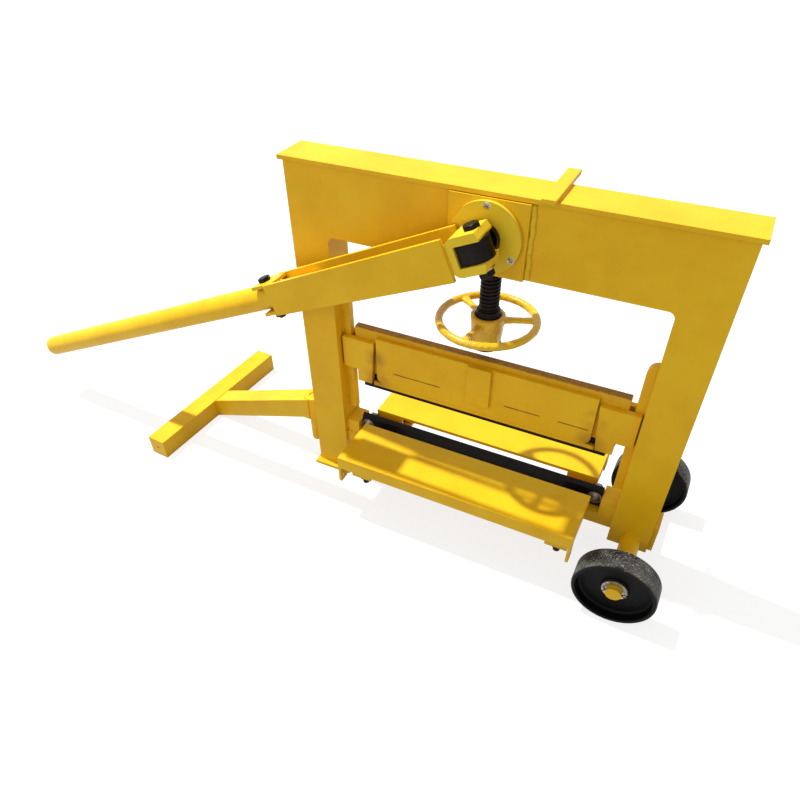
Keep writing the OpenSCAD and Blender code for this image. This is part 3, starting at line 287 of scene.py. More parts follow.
# %% [markdown]
# Screw, shaft, bolts and springs are blackened steel: a thin oxide, soaked with oil and dust. It
# stays dark at any angle and has only a soft sheen, so it is not given a mirror's metallic look.
# The blades have the same black, with fine scratches along their length.

# %% Blackened steel
OIL = "#1e1712"
BARE_STEEL = "#7a6f62"
WORN_MM = 0.8
# Sizes of the patterns. A real scratch is as thin as a hair, and is drawn wider so that it shows.
OIL_MM = 12
SCRATCH_MM = 1.6
SCRATCH_STRETCH = (0.04, 1.0, 1.0)


def blackened(name, base, rough, scratch):
    """Black oxide on steel: nearly black, with oil clouds, bright worn edges and scratches along X."""
    made, tree, place = new_material(name)
    cloud = add(tree, "TexNoise", {"Vector": place, "Scale": per_metre(OIL_MM), **CLOUDY})
    drawn_out = add(tree, "Mapping", {"Vector": place, "Scale": SCRATCH_STRETCH})
    lines = add(tree, "TexNoise", {"Vector": drawn_out, "Scale": per_metre(SCRATCH_MM), **EVEN})
    oily = add(tree, "MapRange", {"Value": cloud, "From Min": 0.4, "From Max": 0.75}, **SMOOTH)
    tone = coat(tree, linear(base), OIL, oily)
    thin = add(tree, "MapRange", {"Value": lines, "From Min": 0.6, "From Max": 0.8}, **SMOOTH)
    marks = add(tree, "Math", {0: thin, 1: scratch}, operation="MULTIPLY")
    worn = add(tree, "Math", {0: edge_mask(tree, WORN_MM, 0.03, 0.3), 1: 0.35}, operation="MULTIPLY")
    bare = add(tree, "Math", {0: marks, 1: worn}, operation="MAXIMUM")
    tone = coat(tree, tone, BARE_STEEL, bare)
    shine = add(tree, "MapRange", {"Value": cloud, "To Min": rough - 0.1, "To Max": rough + 0.1})
    shader = add(tree, "BsdfPrincipled", {"Base Color": tone, "Roughness": shine,
                                          "Specular IOR Level": 0.13})
    add(tree, "OutputMaterial", {"Surface": shader})
    return made


BLACK_STEEL = blackened("blackened_steel", "#100b08", 0.42, 0.05)
BLADE_STEEL = blackened("blackened_blade_steel", "#0d0a08", 0.55, 0.1)
print("made", BLACK_STEEL.name, BLADE_STEEL.name)

# %% [markdown]
# Washers, split pins and small screws are zinc plated: a dull grey metal. The bushes are cast
# bronze. Both are plain metals, so they share one recipe with a cloudy tarnish.

# %% Plain metals
TARNISH_MM = 6


def plain_metal(name, base, dark, rough):
    """Bare or plated metal: full metallic with clouds of tarnish."""
    made, tree, place = new_material(name)
    cloud = add(tree, "TexNoise", {"Vector": place, "Scale": per_metre(TARNISH_MM), **CLOUDY})
    tarnish = add(tree, "MapRange", {"Value": cloud, "From Min": 0.4, "From Max": 0.75}, **SMOOTH)
    tone = coat(tree, linear(base), dark, tarnish)
    shader = add(tree, "BsdfPrincipled", {"Base Color": tone, "Roughness": rough, "Metallic": 1.0})
    add(tree, "OutputMaterial", {"Surface": shader})
    return made


ZINC = plain_metal("dull_zinc_plating", "#b3aa9c", "#857b6d", 0.42)
# The split pins' zinc is darkened with painted shade, and weather has dulled the lower blade's bolts.
SHADED_ZINC = plain_metal("shaded_zinc_plating", "#5d544a", "#352f28", 0.5)
DULL_ZINC = plain_metal("weathered_zinc_plating", "#8d8377", "#62594e", 0.5)
BRONZE = plain_metal("cast_bronze", "#b08a4a", "#8b6a34", 0.38)
print("made", ZINC.name, SHADED_ZINC.name, DULL_ZINC.name, BRONZE.name)

# %% [markdown]
# The wheels are black iron castings. Their treads have rolled through stone dust, which lies grey
# on the outside in scuffs and specks. The dished faces stay black. The distance from the axle
# tells the two apart.

# %% Dusty wheel iron
IRON = ("#050404", "#171513")
FILM = ("#1c1c1b", "#5a5853")
STONE = "#bcb9b0"
TREAD_FADE = (3.0 * MM, 0.8 * MM)
SCUFF_HIGH = 0.8 * MM
# Sizes of the patterns. Real stone grit is finer, and is drawn coarser so that it shows.
SCUFF_MM = 26
GRIT_MM = 2.6


def wheel_iron(name, centre, tread_r):
    """Black iron that turns dusty grey as the distance from the axle nears the tread's radius."""
    made, tree, place = new_material(name)
    moved = add(tree, "Mapping", {"Vector": place, "Location": (-centre[0], 0, -centre[2])})
    across = add(tree, "VectorMath", {0: moved, 1: (1, 0, 1)}, operation="MULTIPLY")
    radius = add(tree, "VectorMath", {0: across}, "Value", operation="LENGTH")
    patch = add(tree, "TexNoise", {"Vector": place, "Scale": per_metre(SCUFF_MM), **SCUFFED})
    grit = add(tree, "TexNoise", {"Vector": place, "Scale": per_metre(GRIT_MM), **GRITTY})
    near = add(tree, "MapRange", {"Value": radius, "From Min": tread_r - TREAD_FADE[0],
                                  "From Max": tread_r - TREAD_FADE[1]}, **SMOOTH)
    scuffs = add(tree, "MapRange", {"Value": patch, "From Min": 0.35, "From Max": 0.7}, **SMOOTH)
    film = coat(tree, linear(FILM[0]), FILM[1], scuffs)
    specks = add(tree, "MapRange", {"Value": grit, "From Min": 0.56, "From Max": 0.7}, **SMOOTH)
    film = coat(tree, film, STONE, specks, 0.65)
    rough_spots = add(tree, "MapRange", {"Value": grit, "From Min": 0.62, "From Max": 0.85}, **SMOOTH)
    face = coat(tree, linear(IRON[0]), IRON[1], rough_spots)
    tone = add(tree, "Mix", {0: near, 6: face, 7: film}, **COLOURS)
    bump = add(tree, "Bump", {"Height": patch, "Strength": 0.25, "Distance": SCUFF_HIGH})
    shader = add(tree, "BsdfPrincipled", {"Base Color": tone, "Roughness": 0.5, "Specular IOR Level": 0.1,
                                          "Normal": bump})
    add(tree, "OutputMaterial", {"Surface": shader})
    return made


# The wheels are drawn a hair small, so that their facets stay inside the solids' box.
FACET_TRIM = 0.02 * MM
wheel_low, wheel_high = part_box("front_wheel")
wheel_centre = (wheel_low + wheel_high) / 2
WHEEL_R = min(wheel_high.x - wheel_low.x, wheel_high.z - wheel_low.z) / 2 - FACET_TRIM
WHEEL = wheel_iron("dusty_black_iron", wheel_centre, WHEEL_R)
print("wheel centre", tuple(wheel_centre))

# %% [markdown]
# Each solid already carries the name of its material slot in the record. A table from slot to
# finish dresses all of them, and a few solids then get a finish of their own.

# %% Dress the solids
FINISH = {"yellow_paint": YELLOW, "black_steel": BLACK_STEEL, "blade_steel": BLADE_STEEL,
          "zinc": ZINC, "bronze": BRONZE, "wheel_iron": WHEEL}
OWN_FINISH = {"hand_wheel": CAST_YELLOW, "beam_plate": BEAM_TOP, "bearing_flange": PALE_YELLOW,
              "lever_yoke": PALE_YELLOW, "beam_panels": STAINED_YELLOW,
              "beam_tongues": STAINED_YELLOW, "blade_clamps": STAINED_YELLOW,
              "lower_blade_bolts": DULL_ZINC}
SLOT_OF = {row["node"]: row["material_slot"] for row in frame["record"]["subparts"]}


def dress(obj, finish):
    """Gives a mesh one finish all over."""
    obj.data.materials.clear()
    obj.data.materials.append(finish)


for name, obj in NODES.items():
    dress(obj, OWN_FINISH.get(name, FINISH[SLOT_OF[name]]))
print("dressed", len(NODES), "solids")

# %% [markdown]
# New pieces are surfaces on a grid. A function fills a rows-by-columns array of points, and one
# helper turns the array into a closed shell: faces join neighbours and the columns wrap round. The
# two end rows are capped, or the rows wrap round too, as on a ring. Computing whole arrays keeps
# the shapes readable as formulas.


# %% Grid surfaces
def shell(points, ring=False):
    """Vertices and faces of a (rows, cols, 3) grid whose columns wrap; ends are capped, or rows wrap."""
    rows, cols, _ = points.shape
    r = np.arange(rows if ring else rows - 1)[:, None]
    c = np.arange(cols)[None, :]
    after = (r + 1) % rows
    right = (c + 1) % cols
    corners = np.broadcast_arrays(r * cols + c, r * cols + right, after * cols + right, after * cols + c)
    faces = np.stack(corners, -1).reshape(-1, 4).tolist()
    if not ring:
        faces.append(list(range(cols))[::-1])
        faces.append(list(range((rows - 1) * cols, rows * cols)))
    return points.reshape(-1, 3), faces


print("a capped tube of 3 by 4 points has", len(shell(np.zeros((3, 4, 3)))[1]), "faces")

# %% Pieces from shells
SHARP_DEG = 38
ROUND_DEG = 60


def piece(name, shells, finish, body, sharp_deg=SHARP_DEG):
    """One mesh object from closed shells, facing outwards, with a finish, riding on a body."""
    starts = np.cumsum([0] + [len(v) for v, _ in shells])
    faces = [[i + int(s) for i in face] for (_, fs), s in zip(shells, starts) for face in fs]
    mesh = bpy.data.meshes.new(name)
    mesh.from_pydata(np.concatenate([v for v, _ in shells]).tolist(), [], faces)
    work = bmesh.new()
    work.from_mesh(mesh)
    bmesh.ops.recalc_face_normals(work, faces=work.faces)
    work.to_mesh(mesh)
    work.free()
    mesh.polygons.foreach_set("use_smooth", np.ones(len(mesh.polygons), bool))
    mesh.set_sharp_from_angle(angle=math.radians(sharp_deg))
    mesh.update()
    obj = bpy.data.objects.new(name, mesh)
    bpy.context.scene.collection.objects.link(obj)
    dress(obj, finish)
    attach(obj, body)
    return obj


print("edges stay sharp over", SHARP_DEG, "degrees, and on round bars over", ROUND_DEG)


# %% Turned bodies and rounded outlines
def turned(profile, at, along="z", cols=64):
    """Surface of revolution: at + r cos a u + r sin a v + h w for each (r, h) of the profile."""
    u, v, w = {"z": np.eye(3), "y": np.eye(3)[[2, 0, 1]]}[along]
    a = np.linspace(0, 2 * np.pi, cols, endpoint=False)
    r = profile[:, 0, None, None]
    h = profile[:, 1, None, None]
    ring = np.cos(a)[:, None] * u + np.sin(a)[:, None] * v
    return np.asarray(at) + r * ring[None] + h * w


def filleted(corners, radii, steps=6):
    """Closed outline whose corners become arcs: an arc of radius r starts r / tan(half angle) away."""
    p = np.asarray(corners, float)
    radius = np.broadcast_to(np.asarray(radii, float), len(p))[:, None]
    back = np.roll(p, 1, 0) - p
    ahead = np.roll(p, -1, 0) - p
    back /= np.linalg.norm(back, axis=1, keepdims=True)
    ahead /= np.linalg.norm(ahead, axis=1, keepdims=True)
    half = np.arccos(np.clip((back * ahead).sum(1, keepdims=True), -1, 1)) / 2
    middle = (back + ahead) / np.linalg.norm(back + ahead, axis=1, keepdims=True)
    centre = p + middle * radius / np.sin(half)
    start = p + back * radius / np.tan(half) - centre
    turn = np.sign(back[:, 1] * ahead[:, 0] - back[:, 0] * ahead[:, 1])[:, None] * (np.pi - 2 * half)
    a = np.arctan2(start[:, 1:], start[:, :1]) + turn * np.linspace(0, 1, steps)[None, :]
    arcs = centre[:, None, :] + radius[:, None, :] * np.stack([np.cos(a), np.sin(a)], -1)
    return arcs.reshape(-1, 2)


print("a square with round corners has", len(filleted([(0, 0), (1, 0), (1, 1), (0, 1)], 0.1)), "points")

# %% Bars along a path
# A direction that no bar of this machine lies along.
SIDE_HINT = np.array([0.31, 0.17, 0.93])


def swept(path, radius, sides=10, ring=False):
    """Round bar along a path: point + radius (cos side + sin up), with side square to a fixed hint."""
    step = np.roll(path, -1, 0) - np.roll(path, 1, 0) if ring else np.gradient(path, axis=0)
    tangent = step / np.linalg.norm(step, axis=1, keepdims=True)
    side = np.cross(tangent, SIDE_HINT)
    side /= np.linalg.norm(side, axis=1, keepdims=True)
    up = np.cross(side, tangent)
    a = np.linspace(0, 2 * np.pi, sides, endpoint=False)[None, :, None]
    r = np.broadcast_to(np.asarray(radius, float), len(path))[:, None, None]
    return path[:, None, :] + r * (np.cos(a) * side[:, None, :] + np.sin(a) * up[:, None, :])


def smooth_path(points, per_span=8):
    """Curve through points: on each span the cubic whose end slopes are half the chord of neighbours."""
    p = np.asarray(points, float)
    p = np.concatenate([2 * p[:1] - p[1:2], p, 2 * p[-1:] - p[-2:-1]])
    t = np.linspace(0, 1, per_span, endpoint=False)[None, :, None]
    a, b, c, d = (p[i:len(p) - 3 + i, None, :] for i in range(4))
    curve = b + t / 2 * (c - a + t * (2 * a - 5 * b + 4 * c - d + t * (3 * (b - c) + d - a)))
    return np.concatenate([curve.reshape(-1, p.shape[1]), p[-2:-1]])


print("a path through 3 points has", len(smooth_path([(0, 0, 0), (1, 0, 0), (1, 1, 0)])), "points")

# %% [markdown]
# The press screw has a coarse thread. Instead of stacking rings, one surface holds the whole
# thread: the radius depends on how far a point has climbed along the helix, so the groove winds
# up the bar as a single cut, as a lathe makes it.

# %% Press screw
SCREW_PITCH = 6 * MM
SCREW_DEPTH = 2.6 * MM
SCREW_POINT = 1.5 * MM


def screw_surface(low, high, outer, pitch, depth, rows_per_turn=14, cols=48):
    """r = outer - depth * s((z - pitch angle / 2 pi) / pitch), with s a flat-topped wave."""
    rows = int((high - low) / pitch * rows_per_turn)
    z = np.linspace(low, high, rows)[:, None]
    a = np.linspace(0, 2 * np.pi, cols, endpoint=False)[None, :]
    wave = np.sin(2 * np.pi * ((z / pitch) - a / (2 * np.pi)))
    groove = np.clip(0.5 + 1.1 * wave, 0, 1)
    ends = np.clip(np.minimum(z - low, high - z) / SCREW_POINT, 0, 1)
    r = (outer - depth * groove) * (0.9 + 0.1 * ends)
    return np.stack([r * np.cos(a), r * np.sin(a), np.broadcast_to(z, r.shape)], -1)


screw_low, screw_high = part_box("press_screw")
screw_r = (screw_high.x - screw_low.x) / 2
thread = screw_surface(screw_low.z, screw_high.z, screw_r, SCREW_PITCH, SCREW_DEPTH)
screw = piece("screw_thread", [shell(thread)], BLACK_STEEL, "ram", ROUND_DEG)
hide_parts("press_screw")
print("thread turns:", round((screw_high.z - screw_low.z) / SCREW_PITCH, 1))

# %% [markdown]
# The hand wheel is a rough casting: a round rim, three spokes that widen where they run into the
# rim and the hub, and soft fillets everywhere, because molten iron can't fill a sharp corner. The
# parts are made as simple shells first. A voxel remesh then melts them into one skin, and a few
# rounds of smoothing draw the fillets. A slow wave, less than a millimetre deep, leaves the uneven
# skin of a sand mould.

# %% Spokes of the hand wheel
SPOKES = 3
SPOKE_TURN = math.radians(22)
SPOKE_HALF_T = 4.6 * MM
SPOKE_HALF_W = (9.5 * MM, 5.6 * MM, 9.0 * MM)


def spoke(turn, inner, outer, z):
    """Oval bar from hub to rim; its half width follows two parabolas that meet at the waist."""
    t = np.linspace(0, 1, 24)
    hub, waist, rim = SPOKE_HALF_W
    half_w = waist + np.where(t < 0.5, hub - waist, rim - waist) * (2 * t - 1) ** 2
    a = np.linspace(0, 2 * np.pi, 20, endpoint=False)[None, :]
    r = (inner + (outer - inner) * t)[:, None]
    w = half_w[:, None] * np.sign(np.cos(a)) * np.abs(np.cos(a)) ** 0.7
    h = np.broadcast_to(SPOKE_HALF_T * np.sin(a), w.shape)
    x = r * math.cos(turn) - w * math.sin(turn)
    y = r * math.sin(turn) + w * math.cos(turn)
    return np.stack([x, y, z + h], -1)


print("spokes:", SPOKES, "half widths:", SPOKE_HALF_W)

# %% Melting shells into a casting
CAST_VOXEL = 1.3 * MM
CAST_SMOOTHING = 6
SKIN_DEPTH = 0.9 * MM
# Each wave is its direction, in radians per millimetre, and its phase.
SKIN_WAVES = (((0.43, 0.21, 0.10), 0.0), ((-0.17, 0.47, 0.22), 1.3), ((0.25, -0.28, 0.51), 2.1),
              ((0.61, 0.55, -0.37), 0.7), ((-0.72, 0.31, 0.66), 3.9))


def melted(obj, voxel, smooth_rounds):
    """Replaces a mesh by its voxel skin, smoothed, then sinks each point by a sum of plane sine waves."""
    finish = obj.data.materials[0]
    skin = obj.modifiers.new("skin", "REMESH")
    skin.mode = "VOXEL"
    skin.voxel_size = voxel
    skin.use_smooth_shade = True
    ease = obj.modifiers.new("ease", "SMOOTH")
    ease.factor = 0.5
    ease.iterations = smooth_rounds
    seen = obj.evaluated_get(bpy.context.evaluated_depsgraph_get())
    mesh = bpy.data.meshes.new_from_object(seen)
    place = np.empty(len(mesh.vertices) * 3)
    mesh.vertices.foreach_get("co", place)
    normal = np.empty(len(place))
    mesh.vertex_normals.foreach_get("vector", normal)
    p = place.reshape(-1, 3)
    lump = sum(np.sin(p @ np.array(wave) / MM + phase) for wave, phase in SKIN_WAVES) / len(SKIN_WAVES)
    p -= normal.reshape(-1, 3) * (SKIN_DEPTH * (0.5 + 0.5 * lump))[:, None]
    mesh.vertices.foreach_set("co", p.ravel())
    obj.modifiers.clear()
    obj.data = mesh
    dress(obj, finish)
    return len(mesh.polygons)


print("waves on the skin:", len(SKIN_WAVES))

# %% Hand wheel casting
RIM_BAR_R = 6.5 * MM
RIM_LIFT = 35 * MM
RIM_STEPS = 120
HUB_LOW_R = 23 * MM
HUB_TOP_R = 27 * MM
HUB_FILLETS = np.array([0.8, 1.6, 2.4, 0.8]) * MM
SPOKE_SINK = 1 * MM
grip_low, grip_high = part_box("hand_wheel")
nut_low, nut_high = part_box("wheel_nut")
grip_r = (grip_high.x - grip_low.x) / 2 - RIM_BAR_R
bore_r = (nut_high.x - nut_low.x) / 2
rim_z = grip_low.z + RIM_LIFT
turn_a = np.linspace(0, 2 * np.pi, RIM_STEPS, endpoint=False)
rim_path = np.stack([grip_r * np.cos(turn_a), grip_r * np.sin(turn_a), np.full(RIM_STEPS, rim_z)], -1)
hub_h = grip_high.z - grip_low.z
hub_line = filleted([(bore_r, 0), (HUB_LOW_R, 0), (HUB_TOP_R, hub_h), (bore_r, hub_h)], HUB_FILLETS)
grip_shells = [shell(swept(rim_path, RIM_BAR_R, 20, ring=True), ring=True),
               shell(turned(hub_line, (0, 0, grip_low.z)), ring=True)]
for k in range(SPOKES):
    spoke_turn = SPOKE_TURN + k * 2 * np.pi / SPOKES
    grip_shells.append(shell(spoke(spoke_turn, HUB_LOW_R - SPOKE_SINK, grip_r, rim_z)))
grip = piece("hand_wheel_casting", grip_shells, CAST_YELLOW, "adjuster")
print("faces of the casting:", melted(grip, CAST_VOXEL, CAST_SMOOTHING))
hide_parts("hand_wheel")

# %% [markdown]
# A road wheel is turned about its axle: a thin rim, a deep dish on the outside, and a hub. One
# closed outline with a fillet at every corner, carried round the axle, gives the whole wheel.

# %% Road wheels
RIM_T = 7 * MM
DISH = 14 * MM
WEB = (11 * MM, 21 * MM)
WHEEL_HUB_R = 22 * MM
WHEEL_BORE_R = 12.6 * MM
WHEEL_FILLETS = np.array([0.6, 1.5, 3, 4, 2, 3.2, 3.2, 2, 5, 1.4, 1.2, 0.6]) * MM


def road_wheel(name, node, outwards, body):
    """Revolved outline of (radius, distance from the inner side), with the dish facing outwards."""
    low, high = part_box(node)
    width = high.y - low.y
    rim_in = WHEEL_R - RIM_T
    corners = [(WHEEL_BORE_R, 0), (WHEEL_HUB_R, 0), (WHEEL_HUB_R, WEB[0]), (rim_in, WEB[0]), (rim_in, 0),
               (WHEEL_R, 0), (WHEEL_R, width), (rim_in, width), (rim_in, WEB[1]), (WHEEL_HUB_R, WEB[1]),
               (WHEEL_HUB_R, width - DISH), (WHEEL_BORE_R, width - DISH)]
    line = filleted(corners, WHEEL_FILLETS)
    start = high.y if outwards < 0 else low.y
    at = (wheel_centre.x, start, wheel_centre.z)
    points = turned(line * (1, outwards), at, "y", 112)
    obj = piece(name, [shell(points, ring=True)], WHEEL, body, sharp_deg=50)
    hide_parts(node)
    return width


print("wheel width", road_wheel("front_wheel_casting", "front_wheel", -1, "wheel_front"),
      road_wheel("rear_wheel_casting", "rear_wheel", 1, "wheel_rear"))

# %% [markdown]
# The split pins that keep the wheels on are a folded wire: an eye at one end, two legs side by
# side through the axle, and ends that are bent apart. A smooth curve through a few points gives
# the wire's middle line, and a round bar follows it.

# %% Split pins
PIN_WIRE_R = 0.95 * MM
PIN_INSET = 3.2 * MM
# One leg of the wire from its bent end to the eye, as (along X, along Z); the other leg mirrors it.
PIN_LEG = np.array([(-16.5, 7.5), (-15.6, 3.2), (-13.2, 1.1), (-4, 1.0), (8, 1.0), (13.5, 1.2),
                    (15.8, 2.8), (18.4, 2.6)]) * MM
PIN_TIP = np.array([(19.4, 0)]) * MM

pin_low, pin_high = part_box("split_pins")
pin_line = smooth_path(np.concatenate([PIN_LEG, PIN_TIP, PIN_LEG[::-1] * (1, -1)]))
pin_shells = []
for pin_y in (pin_low.y + PIN_INSET, pin_high.y - PIN_INSET):
    wire_x = wheel_centre.x + pin_line[:, 0]
    wire_z = wheel_centre.z + pin_line[:, 1]
    wire = np.stack([wire_x, np.full(len(pin_line), pin_y), wire_z], -1)
    pin_shells.append(shell(swept(wire, PIN_WIRE_R)))
# The split pins are drawn in darkened zinc: painted shade.
split_pins = piece("split_pin_wires", pin_shells, SHADED_ZINC, "frame", ROUND_DEG)
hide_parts("split_pins")
print("split pins at y", pin_low.y + PIN_INSET, pin_high.y - PIN_INSET)

# %% [markdown]
# The table springs are round wire. The solids carry a coarse helix; a smoother one takes its
# place, with the last turn of each end laid flat as a spring grinder leaves it. The share of its
# length that each pair keeps when its table is down is worked out from the slide's travel.

# %% Table springs
WIRE_R = 1.5 * MM
SPRING_TURNS = 6


def spring_path(x, y, low, high, coil_r, turns, per_turn=28):
    """Helix about a vertical line; the climb eases in and out, so the end turns lie flat."""
    t = np.linspace(0, 1, int(turns * per_turn) + 1)
    a = 2 * np.pi * turns * t
    climb = t - np.sin(2 * np.pi * t) / (7 * np.pi)
    z = low + (high - low) * climb
    return np.stack([x + coil_r * np.cos(a), y + coil_r * np.sin(a), z], -1)


def table_springs(name, node, joint):
    """Both springs of one table as one piece; gives the share of their length kept when the table is down."""
    low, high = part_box(node)
    coil_r = (high.y - low.y) / 2 - WIRE_R
    y = (low.y + high.y) / 2
    xs = (low.x + coil_r + WIRE_R, high.x - coil_r - WIRE_R)
    paths = [spring_path(x, y, low.z + WIRE_R, high.z - WIRE_R, coil_r, SPRING_TURNS) for x in xs]
    wires = [shell(swept(path, WIRE_R)) for path in paths]
    obj = piece(name, wires, BLACK_STEEL, "frame", ROUND_DEG)
    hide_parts(node)
    travel = abs(min(j["range_m"][0] for j in frame["joints"] if j["name"] == joint))
    keep = 1 - travel / (high.z - low.z)
    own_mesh(obj)
    return keep


for side in ("front", "rear"):
    kept = table_springs(side + "_spring_wire", side + "_table_springs", side + "_table_slide")
    print(side, "springs keep", round(kept, 3), "of their length")

# %% [markdown]
# Hexagon heads and nuts have a turned chamfer that leaves curved corners on each flat. As a
# formula, the radius is the smaller of two: the hexagon's at that angle, and a cone's at that
# height. The bolts of the lever lie square to it, so they are made in the lever's own frame, with
# X along the lever and Z across it, and then turned into place.

# %% The lever's frame
LEVER_DROP = math.radians(23.6)
bush_low, bush_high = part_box("shaft_bushes")
SHAFT_Z = (bush_low.z + bush_high.z) / 2
LEVER_TURN = np.array([[math.cos(LEVER_DROP), 0, -math.sin(LEVER_DROP)], [0, 1, 0],
                       [math.sin(LEVER_DROP), 0, math.cos(LEVER_DROP)]])


def from_lever(points):
    """Points of the lever's frame in the part's frame: turned about the shaft, then lifted to it."""
    return points @ LEVER_TURN.T + (0, 0, SHAFT_Z)


def lever_box(node):
    """Lowest and highest corner of a solid in the lever's frame."""
    mesh = NODES[node].data
    flat = np.empty(len(mesh.vertices) * 3)
    mesh.vertices.foreach_get("co", flat)
    local = (flat.reshape(-1, 3) - (0, 0, SHAFT_Z)) @ LEVER_TURN
    return local.min(0), local.max(0)


print("the shaft is at height", SHAFT_Z)

# %% Hexagon heads and round bars
CHAMFER_START = 0.96
CHAMFER_REACH = 0.12
CHAMFER_SLOPE = 1.73


def hexagon(at, across, low, high, cols=72):
    """Six-sided prism along Z: r = min(hexagon, start times half width + slope times the way from an end)."""
    a = np.linspace(0, 2 * np.pi, cols, endpoint=False)
    six = across / 2 / np.cos(np.mod(a, np.pi / 3) - np.pi / 6)
    way = np.linspace(0, CHAMFER_REACH * across / 2, 6)
    z = np.concatenate([low + way, high - way[::-1]])[:, None]
    end = np.minimum(z - low, high - z)
    r = np.minimum(six[None, :], CHAMFER_START * across / 2 + CHAMFER_SLOPE * end)
    return np.stack([at[0] + r * np.cos(a), at[1] + r * np.sin(a), np.broadcast_to(z, r.shape)], -1)


def plain_bar(at, radius, low, high, chamfer):
    """Round bar along Z with chamfered ends."""
    line = np.array([(radius - chamfer, low), (radius, low + chamfer), (radius, high - chamfer),
                     (radius - chamfer, high)])
    return turned(line, (at[0], at[1], 0), cols=36)


print("a 21 mm hexagon has", hexagon((0, 0), 21 * MM, 0, 9 * MM).shape[:2], "points")

# %% Bolts of the lever
# Shares of the bolt's diameter.
HEAD_ACROSS = 1.5
HEAD_HIGH = 0.65
BOLT_TAIL = 0.4
WASHER_RIM = 0.95
WASHER_PLAY = 0.15 * MM
WASHER_FILLET = 0.3 * MM
SHANK_CHAMFER = 0.1 * MM
TAIL_CHAMFER = 0.8 * MM


def lever_bolt(name, node, bolt_d, washer_t, head_share):
    """Hexagon bolt of the lever with its nut and tail, and a plated washer under the nut."""
    low, high = lever_box(node)
    at = (low + high) / 2
    across = HEAD_ACROSS * bolt_d
    head_h = HEAD_HIGH * bolt_d
    seat = low[2] + BOLT_TAIL * bolt_d + head_h
    nut_top = seat - washer_t
    head_low = high[2] - head_h
    parts = [hexagon(at, across, head_low, head_low + head_share * head_h),
             hexagon(at, across, nut_top - head_h, nut_top),
             plain_bar(at, bolt_d / 2, nut_top, head_low, SHANK_CHAMFER),
             plain_bar(at, bolt_d / 2, low[2], nut_top - head_h, TAIL_CHAMFER)]
    bolt_shells = [shell(from_lever(p)) for p in parts]
    bolt = piece(name, bolt_shells, BLACK_STEEL, "lever", sharp_deg=30)
    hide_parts(node)
    hole = bolt_d / 2 + WASHER_PLAY
    rim = WASHER_RIM * bolt_d
    line = filleted([(hole, nut_top), (rim, nut_top), (rim, seat), (hole, seat)], WASHER_FILLET, 4)
    washer = from_lever(turned(line, (at[0], at[1], 0)))
    piece(name + "_washer", [shell(washer, ring=True)], ZINC, "lever", sharp_deg=30)
    return at


yoke_at = lever_bolt("yoke_bolt_steel", "yoke_bolt", 14 * MM, 2.2 * MM, head_share=0.7)
handle_at = lever_bolt("handle_bolt_steel", "handle_bolt", 12 * MM, 1.8 * MM, head_share=0.9)
print("bolts in the lever's frame:", yoke_at, handle_at)

# %% [markdown]
# Three plated screws hold the round flange. Seen from a step away, their cross recess is what tells
# the eye that they are screws. The head is a polar grid whose height is a low dome, less the depth
# of two crossed slots.

# %% Flange screws
SCREW_HEAD_R = 5.1 * MM
DOME = 1.3 * MM
SLOT_HALF_W = 0.62 * MM
SLOT_HALF_L = 3.0 * MM
SLOT_DEPTH = 1.7 * MM
SLOT_EDGE = 0.15 * MM
HEAD_FOOT = 2.2 * MM
SCREW_ANGLES = (90, 210, 330)
FIRST_TWIST = 0.5


def cross_head(at, twist):
    """Head facing -Y: height = dome (1 - (r/R)^2) - depth inside either slot, on a polar grid."""
    a = np.linspace(0, 2 * np.pi, 96, endpoint=False)[None, :]
    r = (np.linspace(0.02, 1, 30) * SCREW_HEAD_R)[:, None]
    across = r * np.cos(a - twist)
    along = r * np.sin(a - twist)
    inside = [np.clip((SLOT_HALF_W - np.abs(p)) / SLOT_EDGE + 0.5, 0, 1)
              * np.clip((SLOT_HALF_L - np.abs(q)) / SLOT_EDGE + 0.5, 0, 1)
              for p, q in ((across, along), (along, across))]
    height = DOME * (1 - (r / SCREW_HEAD_R) ** 2) - SLOT_DEPTH * np.maximum(*inside)
    head = np.stack([at[0] + r * np.cos(a), at[1] - height, at[2] + r * np.sin(a)], -1)
    foot = head[-1:] + (0, HEAD_FOOT, 0)
    return np.concatenate([head, foot])


flange_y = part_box("bearing_flange")[0].y
screw_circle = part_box("flange_screws")[1].z - SHAFT_Z - SCREW_HEAD_R
heads = []
for k, angle in enumerate(SCREW_ANGLES):
    way = math.radians(angle)
    spot = (screw_circle * math.cos(way), flange_y, SHAFT_Z + screw_circle * math.sin(way))
    heads.append(shell(cross_head(spot, FIRST_TWIST + k)))
flange_screws = piece("flange_screw_heads", heads, ZINC, "frame", sharp_deg=40)
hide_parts("flange_screws")
print("screw circle radius:", screw_circle)

# %% [markdown]
# Two domed bolts hold the lower blade, each with a wide, dull washer round its head. A washer is a
# small rectangle with rounded corners, carried round the bolt.

# %% Washers of the lower blade
BLADE_BOLT_HEAD_R = 9.5 * MM
BLADE_WASHER_R = 12.5 * MM
BLADE_WASHER_T = 1.8 * MM
BLADE_WASHER_PLAY = 0.1 * MM
BLADE_WASHER_FILLET = 0.4 * MM
bolts_low, bolts_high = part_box("lower_blade_bolts")
blade_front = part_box("lower_blade")[0].y
hole_r = BLADE_BOLT_HEAD_R + BLADE_WASHER_PLAY
ring_line = filleted([(hole_r, 0), (BLADE_WASHER_R, 0), (BLADE_WASHER_R, -BLADE_WASHER_T),
                      (hole_r, -BLADE_WASHER_T)], BLADE_WASHER_FILLET, 4)
washer_z = (bolts_low.z + bolts_high.z) / 2
bolt_x = bolts_high.x - BLADE_BOLT_HEAD_R
washers = []
for x in (-bolt_x, bolt_x):
    washers.append(shell(turned(ring_line, (x, blade_front, washer_z), "y", 48), ring=True))
piece("lower_blade_washers", washers, DULL_ZINC, "frame")
print("blade washers at", bolt_x, washer_z)

